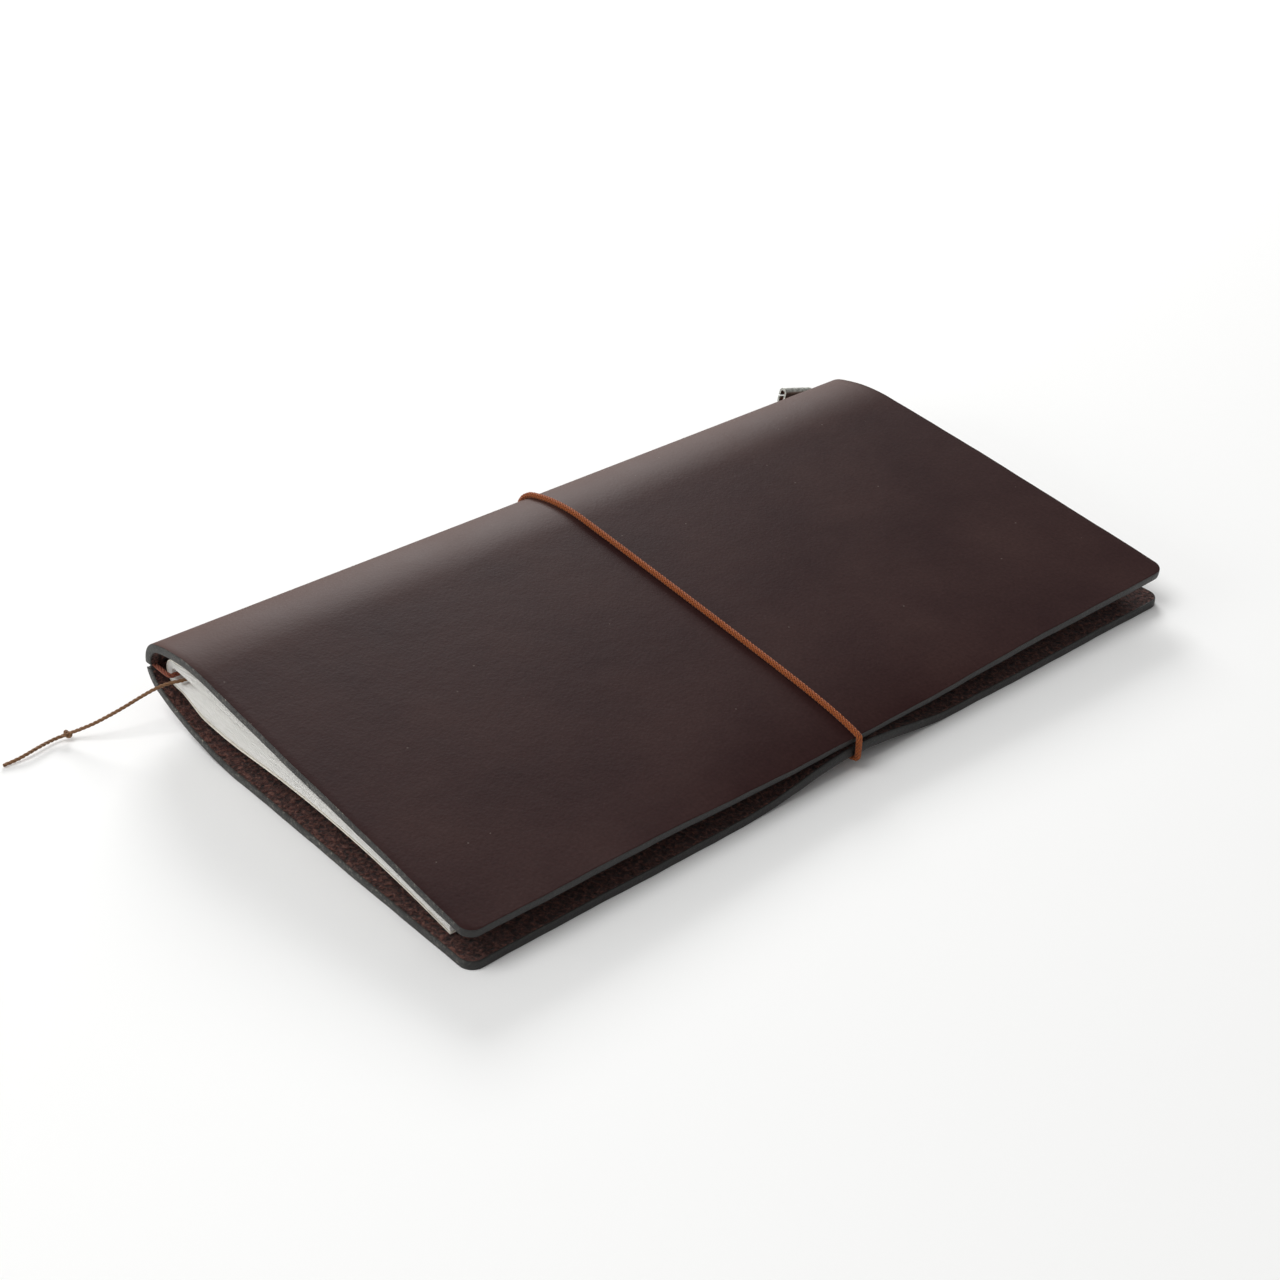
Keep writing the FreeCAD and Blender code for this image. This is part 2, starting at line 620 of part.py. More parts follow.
# Free end: out of the refill, over the tail edge, down to the ground and along it.
FREE_ROUTE = [
    (-50.3, -110.0, 12.3), (-52.0, -112.6, 11.0), (-53.3, -115.4, 9.4), (-54.6, -118.9, 7.6),
    (-55.9, -122.4, 5.9), (-57.3, -125.4, 4.4), (-59.2, -128.2, 2.9), (-61.2, -130.9, 1.5),
    (-61.9, -133.9, 1.1), (-61.2, -137.3, 1.3), (-60.6, -140.9, 1.2), (-60.5, -144.1, 0.8),
    (-60.9, -147.2, 0.5),
]
free = [exit_point] + [V(*point) for point in FREE_ROUTE]
bookmark_cord = cord("bookmark_cord", free, BOOKMARK)
export("bookmark_cord", bookmark_cord)

knot_at = V(*FREE_ROUTE[7])
bookmark_knot = Part.makeSphere(BOOKMARK_KNOT / 2, knot_at)
export("bookmark_knot", bookmark_knot.cut(bookmark_cord))
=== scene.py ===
import math

import bmesh
import bpy
import numpy as np
from mathutils import Matrix, Vector


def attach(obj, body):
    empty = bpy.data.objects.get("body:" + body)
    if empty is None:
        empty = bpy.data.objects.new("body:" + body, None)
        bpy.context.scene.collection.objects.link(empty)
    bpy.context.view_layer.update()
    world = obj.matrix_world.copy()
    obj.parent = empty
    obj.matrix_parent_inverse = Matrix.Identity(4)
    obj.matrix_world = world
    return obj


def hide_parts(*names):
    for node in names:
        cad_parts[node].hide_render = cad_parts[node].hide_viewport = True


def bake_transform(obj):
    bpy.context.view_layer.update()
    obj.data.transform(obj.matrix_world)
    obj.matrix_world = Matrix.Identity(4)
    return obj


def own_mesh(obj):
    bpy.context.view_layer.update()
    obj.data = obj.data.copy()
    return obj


# Leather notebook cover, closed round its paper refill. The shapes are worked out in
# millimetres, in the frame's own axes: X from the spine to the fore-edge, Y from the
# tail to the head, Z up. Meshes are made in metres.

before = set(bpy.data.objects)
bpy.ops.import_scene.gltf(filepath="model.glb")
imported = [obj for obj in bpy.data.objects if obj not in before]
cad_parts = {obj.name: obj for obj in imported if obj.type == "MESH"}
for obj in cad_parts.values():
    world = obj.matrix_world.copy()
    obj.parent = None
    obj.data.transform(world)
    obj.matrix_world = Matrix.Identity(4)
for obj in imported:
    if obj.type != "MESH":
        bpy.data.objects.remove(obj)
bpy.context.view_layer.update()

MM = 0.001

# ---- Sizes, in millimetres ------------------------------------------------------

HALF_HEIGHT = 110.0          # half of the cover, tail to head
HALF_WIDTH = 60.0
LEATHER = 2.2
CORNER_RADIUS = 3.5
SPINE_RADIUS = 7.3
LOW, HIGH = math.radians(23.0), math.radians(163.0)    # headings where the tight bend starts and ends
BACK_BEND_RADIUS = 85.0
FRONT_BEND_RADIUS = 46.0
FORE_EDGE_TOP = 10.4
HEAD_DROP = 3.2
BACK_PINCH, BACK_PINCH_HALF = 1.85, 34.0
FRONT_PINCH, FRONT_PINCH_HALF = 1.75, 80.0
PINCH_FADE = 8.0
ARCH = 1.9                   # the back cover stands on the elastic by this much

SHEETS = 16
PAPER, PAPER_PITCH, CARD = 0.08, 0.12, 0.3
FOLD_INSIDE = 1.4
CARD_INSIDE = FOLD_INSIDE + SHEETS * PAPER_PITCH + 0.05
FOLD_X = -HALF_WIDTH + LEATHER + 2.1 + CARD_INSIDE + CARD
REFILL_TAIL, REFILL_HEAD, REFILL_FORE = -107.0, 103.0, 50.0
FAN_LENGTH = 11.0

ELASTIC = 1.6
HOLDER = 1.3
BOOKMARK = 0.9


def smooth(value):
    value = np.clip(value, 0.0, 1.0)
    return value * value * (3 - 2 * value)


def bell(y, half_length):
    return np.where(np.abs(y) < half_length, np.cos(np.pi * y / (2 * half_length)) ** 2, 0.0)


# ---- The leather's profile, back fore-edge round the spine to front fore-edge ------

BACK_BEND_X = -HALF_WIDTH + BACK_BEND_RADIUS * math.sin(LOW) + SPINE_RADIUS * (1 - math.sin(LOW))
SPINE_Z = BACK_BEND_RADIUS * (1 - math.cos(LOW)) + SPINE_RADIUS * math.cos(LOW)
PEAK_X = -HALF_WIDTH + SPINE_RADIUS + (FRONT_BEND_RADIUS - SPINE_RADIUS) * math.sin(HIGH)
PEAK_Z = SPINE_Z - SPINE_RADIUS * math.cos(HIGH) + FRONT_BEND_RADIUS * (1 + math.cos(HIGH))


def front_slope():
    """Slope of the flat part of the front cover, found by halving."""
    low, high = 0.0, math.radians(30)
    for _ in range(50):
        slope = (low + high) / 2
        x = PEAK_X + FRONT_BEND_RADIUS * math.sin(slope)
        z = PEAK_Z - FRONT_BEND_RADIUS * (1 - math.cos(slope))
        if z - (HALF_WIDTH - x) * math.tan(slope) > FORE_EDGE_TOP:
            low = slope
        else:
            high = slope
    return slope


SLOPE = front_slope()
FRONT_BEND_X = PEAK_X + FRONT_BEND_RADIUS * math.sin(SLOPE)
FRONT_BEND_Z = PEAK_Z - FRONT_BEND_RADIUS * (1 - math.cos(SLOPE))
RUNS = [                     # length, curvature
    (HALF_WIDTH - BACK_BEND_X, 0.0),
    (BACK_BEND_RADIUS * LOW, 1 / BACK_BEND_RADIUS),
    (SPINE_RADIUS * (HIGH - LOW), 1 / SPINE_RADIUS),
    (FRONT_BEND_RADIUS * (math.pi + SLOPE - HIGH), 1 / FRONT_BEND_RADIUS),
    ((HALF_WIDTH - FRONT_BEND_X) / math.cos(SLOPE), 0.0),
]
PROFILE_LENGTH = sum(length for length, _ in RUNS)


def at_heading(degrees):
    """Distance along the profile where the tight bend has this heading."""
    return RUNS[0][0] + RUNS[1][0] + SPINE_RADIUS * (math.radians(degrees) - LOW)


HALF_WAY = at_heading(90)


def on_profile(s):
    """x and z at these distances along the profile."""
    x, z = np.full_like(s, HALF_WIDTH), np.zeros_like(s)
    heading, start = 0.0, 0.0
    for number, (length, curvature) in enumerate(RUNS):
        step = np.clip(s - start, -np.inf if number == 0 else 0.0,
                       np.inf if number == len(RUNS) - 1 else length)
        if curvature:
            turned = heading + step * curvature
            x -= (np.sin(turned) - math.sin(heading)) / curvature
            z -= (np.cos(turned) - math.cos(heading)) / curvature
            heading += length * curvature
        else:
            x -= step * math.cos(heading)
            z += step * math.sin(heading)
        start += length
    return x, z


def head_drop(x, z, y):
    along = (y + HALF_HEIGHT) / (2 * HALF_HEIGHT)
    return HEAD_DROP * along * (z / PEAK_Z) * (HALF_WIDTH - x) / (HALF_WIDTH - PEAK_X)


def back_lift(x, y):
    fade = smooth((x - (BACK_BEND_X - 28)) / 22)
    pinch = BACK_PINCH * np.exp(-(HALF_WIDTH - x) / PINCH_FADE)
    return (ARCH * fade + pinch) * bell(y, BACK_PINCH_HALF)


def front_dip(x, y):
    return FRONT_PINCH * np.exp(-(HALF_WIDTH - x) / PINCH_FADE) * bell(y, FRONT_PINCH_HALF)


def outer(s, y):
    """Points on the grain side."""
    s, y = np.broadcast_arrays(np.asarray(s, float), np.asarray(y, float))
    x, z = on_profile(s)
    z = z - head_drop(x, z, y)
    z = np.where(s < HALF_WAY, z + back_lift(x, y), z - front_dip(x, y))
    return np.stack([x, y, z], -1)


def in_leather(s, y, depth):
    """Points at this depth under the grain side, or above it where depth is negative."""
    step = 0.01
    along = outer(s + step, y) - outer(s - step, y)
    across = outer(s, y + step) - outer(s, y - step)
    normal = np.cross(across, along)
    normal /= np.linalg.norm(normal, axis=-1, keepdims=True)
    return outer(s, y) + normal * np.asarray(depth)[..., None]


# ---- The refill's layers ------------------------------------------------------------

def back_inside(x, y):
    rise = np.maximum(BACK_BEND_X - x, 0.0)
    across = np.sqrt(BACK_BEND_RADIUS ** 2 - rise ** 2)
    z = BACK_BEND_RADIUS - across
    return z - head_drop(x, z, y) + back_lift(x, y) + LEATHER * BACK_BEND_RADIUS / across


def front_inside(x, y):
    flat = FRONT_BEND_Z - (x - FRONT_BEND_X) * math.tan(SLOPE)
    across = np.sqrt(np.maximum(FRONT_BEND_RADIUS ** 2 - (x - PEAK_X) ** 2, 1.0))
    bent = x <= FRONT_BEND_X
    z = np.where(bent, PEAK_Z - FRONT_BEND_RADIUS + across, flat)
    steep = np.where(bent, FRONT_BEND_RADIUS / across, 1 / math.cos(SLOPE))
    return z - head_drop(x, z, y) - front_dip(x, y) - LEATHER * steep


def refill_bottom(x, y):
    middle = (-HALF_WIDTH + 12 + REFILL_FORE) / 2
    across = (x - middle) / (REFILL_FORE - middle)
    air = 0.4 + 4.2 * np.maximum(0.0, 1 - across ** 2)
    return back_inside(x, y) + air * (1 - 0.55 * bell(y, FRONT_PINCH_HALF))


def refill_top(x, y):
    return front_inside(x, y) - 0.35


def fold_z(y):
    return SPINE_Z - 1.0 - 0.5 * HEAD_DROP * (y - REFILL_TAIL) / (REFILL_HEAD - REFILL_TAIL)


def spread(x, y):
    away = smooth((x - FOLD_X - 0.2) / FAN_LENGTH)
    return fold_z(y) * (1 - away) + (refill_bottom(x, y) + refill_top(x, y)) / 2 * away


def half_gap(x):
    return 0.15 + 0.95 * np.exp(-(x - FOLD_X) / 5.0)


def layer(x, y, side, in_fold, share, thickness):
    """Height of a leaf's face towards the spread."""
    outside = refill_bottom(x, y) if side < 0 else refill_top(x, y)
    if share < 1:
        outside = outside - side * (CARD + PAPER_PITCH - PAPER)
    away = smooth((x - FOLD_X - 0.2) / FAN_LENGTH)
    inner = spread(x, y) + side * half_gap(x)
    fanned = inner + (outside - side * thickness - inner) * share
    return (fold_z(y) + side * in_fold) * (1 - away) + fanned * away


# ---- Colours and materials ------------------------------------------------------------

def colour(code):
    """Linear RGBA from an sRGB hex value."""
    parts = [int(code[i:i + 2], 16) / 255 for i in (1, 3, 5)]
    return tuple(c / 12.92 if c <= 0.04045 else ((c + 0.055) / 1.055) ** 2.4 for c in parts) + (1.0,)


def add(tree, kind, inputs=None, **properties):
    """A node with its properties and inputs set. An input that is a socket is linked."""
    node = tree.nodes.new(kind)
    for key, value in properties.items():
        setattr(node, key, value)
    for key, value in (inputs or {}).items():
        if isinstance(value, bpy.types.NodeSocket):
            tree.links.new(value, node.inputs[key])
        else:
            node.inputs[key].default_value = value
    return node


def material(name):
    """An empty material, its tree, its shader and its pattern coordinates."""
    made = bpy.data.materials.new(name)
    made.use_nodes = True
    tree = made.node_tree
    shader = tree.nodes["Principled BSDF"]
    coordinates = tree.nodes.new("ShaderNodeTexCoord")
    return made, tree, shader, coordinates


def ramp(tree, factor, stops):
    """A colour ramp from position and hex pairs."""
    node = add(tree, "ShaderNodeValToRGB", {"Fac": factor})
    elements = node.color_ramp.elements
    while len(elements) < len(stops):
        elements.new(0.5)
    for element, (position, code) in zip(elements, stops):
        element.position = position
        element.color = colour(code)
    return node.outputs["Color"]


def blend_colours(tree, factor, a, b, how="MIX"):
    node = add(tree, "ShaderNodeMix", {"Factor": factor}, data_type="RGBA", blend_type=how)
    for socket, value in ((node.inputs[6], a), (node.inputs[7], b)):
        if isinstance(value, bpy.types.NodeSocket):
            tree.links.new(value, socket)
        else:
            socket.default_value = colour(value)
    return node.outputs[2]


def spaced(size_mm):
    """Texture scale for features of this size, on coordinates in metres."""
    return 1.0 / (size_mm * MM)


def leather_grain():
    """Oiled cowhide, grain side, dyed and waxed: a smooth, low lustre, with a painted sheen that lightens it
    on the upper side towards the spine's bend, partly the lighter pull of bent leather.
    """
    made, tree, shader, co = material("oiled_cowhide_grain")
    uv = co.outputs["UV"]
    cloudy = add(tree, "ShaderNodeTexNoise",
                 {"Vector": uv, "Scale": spaced(26), "Detail": 4.0, "Roughness": 0.55})
    hide = ramp(tree, cloudy.outputs["Fac"], [(0.28, "#2d1818"), (0.5, "#331e1d"), (0.74, "#392422")])
    fine = add(tree, "ShaderNodeTexNoise", {"Vector": uv, "Scale": spaced(0.9), "Detail": 3.0})
    tone = ramp(tree, fine.outputs["Fac"], [(0.3, "#e4e0de"), (0.7, "#ffffff")])
    hide = blend_colours(tree, 1.0, hide, tone, "MULTIPLY")
    # painted sheen: the grain is lightened towards #6e4d40 on the upper side towards the spine, where light
    # glances off the bend; a little of it is the lighter pull of bent leather
    bend = add(tree, "ShaderNodeAttribute", attribute_name="bend")
    hide = blend_colours(tree, bend.outputs["Fac"], hide, "#6e4d40")
    dust = add(tree, "ShaderNodeTexVoronoi", {"Vector": uv, "Scale": spaced(5.0), "Randomness": 1.0})
    near = add(tree, "ShaderNodeMath", {0: dust.outputs["Distance"], 1: 0.045}, operation="LESS_THAN")
    chosen = add(tree, "ShaderNodeSeparateColor", {"Color": dust.outputs["Color"]})
    rare = add(tree, "ShaderNodeMath", {0: chosen.outputs[0], 1: 0.62}, operation="GREATER_THAN")
    speck = add(tree, "ShaderNodeMath", {0: near.outputs[0], 1: rare.outputs[0]}, operation="MULTIPLY")
    faint = add(tree, "ShaderNodeMath", {0: speck.outputs[0], 1: 0.35}, operation="MULTIPLY")
    hide = blend_colours(tree, faint.outputs[0], hide, "#7b706a")
    tree.links.new(hide, shader.inputs["Base Color"])
    gloss = add(tree, "ShaderNodeMapRange", {"Value": cloudy.outputs["Fac"], "To Min": 0.44, "To Max": 0.56})
    tree.links.new(gloss.outputs[0], shader.inputs["Roughness"])
    shader.inputs["Specular IOR Level"].default_value = 0.05
    shader.inputs["Sheen Weight"].default_value = 0.02
    shader.inputs["Sheen Roughness"].default_value = 0.5
    # pores are 0.2 mm in life, drawn at 0.6 mm so that they show
    pores = add(tree, "ShaderNodeTexVoronoi", {"Vector": uv, "Scale": spaced(0.6)}, feature="SMOOTH_F1")
    low = add(tree, "ShaderNodeBump",
              {"Height": pores.outputs["Distance"], "Strength": 0.16, "Distance": 0.00012})
    wrinkle = add(tree, "ShaderNodeTexNoise",
                  {"Vector": uv, "Scale": spaced(7), "Detail": 5.0, "Roughness": 0.6})
    top = add(tree, "ShaderNodeBump", {"Height": wrinkle.outputs["Fac"], "Strength": 0.16, "Distance": 0.0006,
                                       "Normal": low.outputs["Normal"]})
    tree.links.new(top.outputs["Normal"], shader.inputs["Normal"])
    return made


def leather_edge():
    """Cut and burnished edge of the hide: packed fibres, dark grey from the dye, with painted shade that
    darkens it towards the fore-edge.
    """
    made, tree, shader, co = material("burnished_hide_edge")
    uv = co.outputs["UV"]
    fibres = add(tree, "ShaderNodeTexNoise",
                 {"Vector": uv, "Scale": spaced(0.9), "Detail": 5.0, "Roughness": 0.75})
    body = ramp(tree, fibres.outputs["Fac"],
                [(0.34, "#11100f"), (0.47, "#2a2a27"), (0.58, "#4a4a45"), (0.68, "#a09a8b")])
    patches = add(tree, "ShaderNodeTexNoise", {"Vector": uv, "Scale": spaced(6), "Detail": 3.0})
    shade = ramp(tree, patches.outputs["Fac"], [(0.35, "#8c8782"), (0.65, "#ffffff")])
    body = blend_colours(tree, 1.0, body, shade, "MULTIPLY")
    # painted shade: the edge is darkened towards #0c0908 on the fore-edge side, which faces away from the
    # light
    wear_and_painted_shade = add(tree, "ShaderNodeAttribute", attribute_name="painted_fore_edge_shade")
    body = blend_colours(tree, wear_and_painted_shade.outputs["Fac"], body, "#0c0908")
    tree.links.new(body, shader.inputs["Base Color"])
    shader.inputs["Roughness"].default_value = 0.5
    shader.inputs["Specular IOR Level"].default_value = 0.5
    bump = add(tree, "ShaderNodeBump", {"Height": fibres.outputs["Fac"], "Strength": 0.6, "Distance": 0.0003})
    tree.links.new(bump.outputs["Normal"], shader.inputs["Normal"])
    return made


def leather_flesh():
    """Flesh side of the hide, split and left raw: a short reddish nap over pits, with painted shade darkening
    the pits.
    """
    made, tree, shader, co = material("raw_flesh_side")
    uv = co.outputs["UV"]
    nap = add(tree, "ShaderNodeTexNoise",
              {"Vector": uv, "Scale": spaced(1.0), "Detail": 6.0, "Roughness": 0.72, "Distortion": 0.6})
    body = ramp(tree, nap.outputs["Fac"],
                [(0.36, "#150b0a"), (0.46, "#3a211d"), (0.56, "#5e3a32"), (0.68, "#8d6154")])
    pits = add(tree, "ShaderNodeTexVoronoi", {"Vector": uv, "Scale": spaced(1.5)})
    # painted shade: the colour is darkened towards #4a4038 in the middle of each pit, where shade falls
    painted_pit_shade = ramp(tree, pits.outputs["Distance"], [(0.1, "#4a4038"), (0.42, "#ffffff")])
    body = blend_colours(tree, 0.8, body, painted_pit_shade, "MULTIPLY")
    tree.links.new(body, shader.inputs["Base Color"])
    shader.inputs["Roughness"].default_value = 0.9
    shader.inputs["Specular IOR Level"].default_value = 0.2
    shader.inputs["Sheen Weight"].default_value = 0.1
    deep = add(tree, "ShaderNodeBump",
               {"Height": pits.outputs["Distance"], "Strength": 0.7, "Distance": 0.0006})
    top = add(tree, "ShaderNodeBump", {"Height": nap.outputs["Fac"], "Strength": 0.9, "Distance": 0.0008,
                                       "Normal": deep.outputs["Normal"]})
    tree.links.new(top.outputs["Normal"], shader.inputs["Normal"])
    return made


def paper():
    """Uncoated writing paper, calendered: matt, warm white, with a faint cloudiness."""
    made, tree, shader, co = material("uncoated_paper")
    cloud = add(tree, "ShaderNodeTexNoise", {"Vector": co.outputs["UV"], "Scale": spaced(2.5), "Detail": 4.0})
    sheet = ramp(tree, cloud.outputs["Fac"], [(0.3, "#f6f5f1"), (0.7, "#fcfbf8")])
    tree.links.new(sheet, shader.inputs["Base Color"])
    shader.inputs["Roughness"].default_value = 0.9
    shader.inputs["Specular IOR Level"].default_value = 0.25
    fibre = add(tree, "ShaderNodeTexNoise", {"Vector": co.outputs["UV"], "Scale": spaced(0.6), "Detail": 3.0})
    bump = add(tree, "ShaderNodeBump", {"Height": fibre.outputs["Fac"], "Strength": 0.15, "Distance": 0.0001})
    tree.links.new(bump.outputs["Normal"], shader.inputs["Normal"])
    return made


def card():
    """Uncoated cover card: matt, a little creamier than the paper, with flecks of fibre."""
    made, tree, shader, co = material("cover_card")
    fleck = add(tree, "ShaderNodeTexNoise", {"Vector": co.outputs["UV"], "Scale": spaced(0.8), "Detail": 5.0})
    sheet = ramp(tree, fleck.outputs["Fac"], [(0.3, "#ddd6c8"), (0.6, "#efeadf")])
    tree.links.new(sheet, shader.inputs["Base Color"])
    shader.inputs["Roughness"].default_value = 0.85
    bump = add(tree, "ShaderNodeBump", {"Height": fleck.outputs["Fac"], "Strength": 0.2, "Distance": 0.0001})
    tree.links.new(bump.outputs["Normal"], shader.inputs["Normal"])
    return made


def textile(name, dark, middle, light, yarn_mm, roughness=0.75):
    """Dyed polyester or cotton yarn, braided or twisted: matt, with a painted highlight on the yarns' crowns
    and painted shade where they dip between each other.
    """
    made, tree, shader, co = material(name)
    # painted shade and highlight from the yarn attribute, dark where a yarn dips under its neighbours and
    # light on its crown; the fuzz adds tone at random
    painted_weave_shade = add(tree, "ShaderNodeAttribute", attribute_name="yarn")
    fuzz = add(tree, "ShaderNodeTexNoise",
               {"Vector": co.outputs["Object"], "Scale": spaced(yarn_mm), "Detail": 4.0})
    mixed = add(tree, "ShaderNodeMath", {0: fuzz.outputs["Fac"], 1: 0.5}, operation="MULTIPLY")
    both = add(tree, "ShaderNodeMath", {0: painted_weave_shade.outputs["Fac"], 1: 0.62, 2: mixed.outputs[0]},
               operation="MULTIPLY_ADD")
    body = ramp(tree, both.outputs[0], [(0.15, dark), (0.5, middle), (0.88, light)])
    tree.links.new(body, shader.inputs["Base Color"])
    shader.inputs["Roughness"].default_value = roughness
    shader.inputs["Specular IOR Level"].default_value = 0.3
    shader.inputs["Sheen Weight"].default_value = 0.15
    bump = add(tree, "ShaderNodeBump", {"Height": fuzz.outputs["Fac"], "Strength": 0.4, "Distance": 0.0001})
    tree.links.new(bump.outputs["Normal"], shader.inputs["Normal"])
    return made


def metal(name, light, dark, roughness, grain_mm):
    """Bare metal with small handling marks."""
    made, tree, shader, co = material(name)
    marks = add(tree, "ShaderNodeTexNoise",
                {"Vector": co.outputs["Object"], "Scale": spaced(grain_mm), "Detail": 5.0})
    body = ramp(tree, marks.outputs["Fac"], [(0.3, dark), (0.65, light)])
    tree.links.new(body, shader.inputs["Base Color"])
    shader.inputs["Metallic"].default_value = 1.0
    wear_and_painted_shade = add(tree, "ShaderNodeMapRange", {"Value": marks.outputs["Fac"], "To Min": roughness - 0.08,
                                            "To Max": roughness + 0.1})
    tree.links.new(wear_and_painted_shade.outputs[0], shader.inputs["Roughness"])
    bump = add(tree, "ShaderNodeBump", {"Height": marks.outputs["Fac"], "Strength": 0.2, "Distance": 0.0001})
    tree.links.new(bump.outputs["Normal"], shader.inputs["Normal"])
    return made


GRAIN, EDGE, FLESH = leather_grain(), leather_edge(), leather_flesh()
PAPER_SHEET, COVER_CARD = paper(), card()
CLOSING_YARN = textile("closing_elastic_yarn", "#260d04", "#7a3611", "#a4581f", 0.25)
HOLDING_YARN = textile("holding_elastic_yarn", "#2a100a", "#6b3220", "#95523a", 0.25)
BOOKMARK_YARN = textile("waxed_bookmark_yarn", "#1c100a", "#4a2f20", "#86603f", 0.2, 0.6)
TIN = metal("tumbled_tin", "#c9c9c2", "#8f8f88", 0.42, 0.8)          # dull, with darker and lighter patches at random
STEEL_WIRE = metal("drawn_steel_wire", "#dcdcda", "#b4b4b2", 0.28, 0.3)


# ---- Meshes -----------------------------------------------------------------------------

def new_object(name, data):
    made = bpy.data.objects.new(name, data)
    bpy.context.scene.collection.objects.link(made)
    return made


def set_uv(mesh, corner_uv):
    uv = mesh.uv_layers.new(name="flat")
    uv.data.foreach_set("uv", np.asarray(corner_uv, np.float32).ravel())


def mesh_from(name, points, faces, uvs=None, indices=None, materials=()):
    """A closed mesh from points in millimetres, faces, one UV per point and one material index per face."""
    mesh = bpy.data.meshes.new(name)
    mesh.from_pydata((np.asarray(points) * MM).tolist(), [], faces)
    for each in materials:
        mesh.materials.append(each)
    if uvs is not None:
        corners = np.zeros(len(mesh.loops), np.int32)
        mesh.loops.foreach_get("vertex_index", corners)
        set_uv(mesh, np.asarray(uvs)[corners] * MM)
    if indices is not None:
        mesh.polygons.foreach_set("material_index", np.asarray(indices, np.int32))
    outwards(mesh)
    mesh.shade_smooth()
    return mesh


def outwards(mesh):
    """Turns the faces of a closed mesh outwards."""
    work = bmesh.new()
    work.from_mesh(mesh)
    bmesh.ops.recalc_face_normals(work, faces=work.faces)
    if work.calc_volume(signed=True) < 0:
        bmesh.ops.reverse_faces(work, faces=work.faces)
    work.to_mesh(mesh)
    work.free()


def grid_faces(rows, columns, first=0):
    faces = []
    for i in range(rows - 1):
        for j in range(columns - 1):
            a = first + i * columns + j
            faces.append((a, a + 1, a + columns + 1, a + columns))
    return faces


def rim(rows, columns):
    """Indices round the border of a grid, in order."""
    ring = [j for j in range(columns)]
    ring += [i * columns + columns - 1 for i in range(1, rows)]
    ring += [(rows - 1) * columns + j for j in range(columns - 2, -1, -1)]
    ring += [i * columns for i in range(rows - 2, 0, -1)]
    return ring


# ---- The hide, in two halves that meet on the spine's middle line ------------------------

CORNER_ROWS = 10             # rows round the hide's rounded corners
COLUMNS = 121                # points across the hide, tail to head
BAND = [(0.30, 0.0), (0.10, 0.05), (0.02, 0.20), (0.0, 0.50), (-0.03, 1.1), (0.0, 1.7),
        (0.03, 2.02), (0.14, 2.16), (0.32, LEATHER)]     # inset from the outline, depth: the rubbed edge


def hide_rows(front):
    """Angle round the corner and distance from the fore-edge, for each row of the hide."""
    rows = [(math.radians(a), None) for a in np.linspace(0, 90, CORNER_ROWS)]
    total = PROFILE_LENGTH - HALF_WAY if front else HALF_WAY
    bend = total - SPINE_RADIUS * ((HIGH - math.pi / 2) if front else (math.pi / 2 - LOW))
    d = CORNER_RADIUS
    while d < bend - 2.6:
        d += 2.4 if d < bend - 40 else 1.4
        rows.append((None, d))
    count = int((total - 0.25 - d) / 0.42)
    rows += [(None, v) for v in np.linspace(d, total - 0.22, count + 1)[1:]]
    rows.append((None, total))
    return rows


def uneven(t, seed):
    """Slow unevenness along an edge cut by hand, about +-1."""
    waves = np.sin(0.11 * t + seed) + 0.6 * np.sin(0.27 * t + 2.1 * seed)
    return (waves + 0.35 * np.sin(0.71 * t + 3.7 * seed)) / 1.6


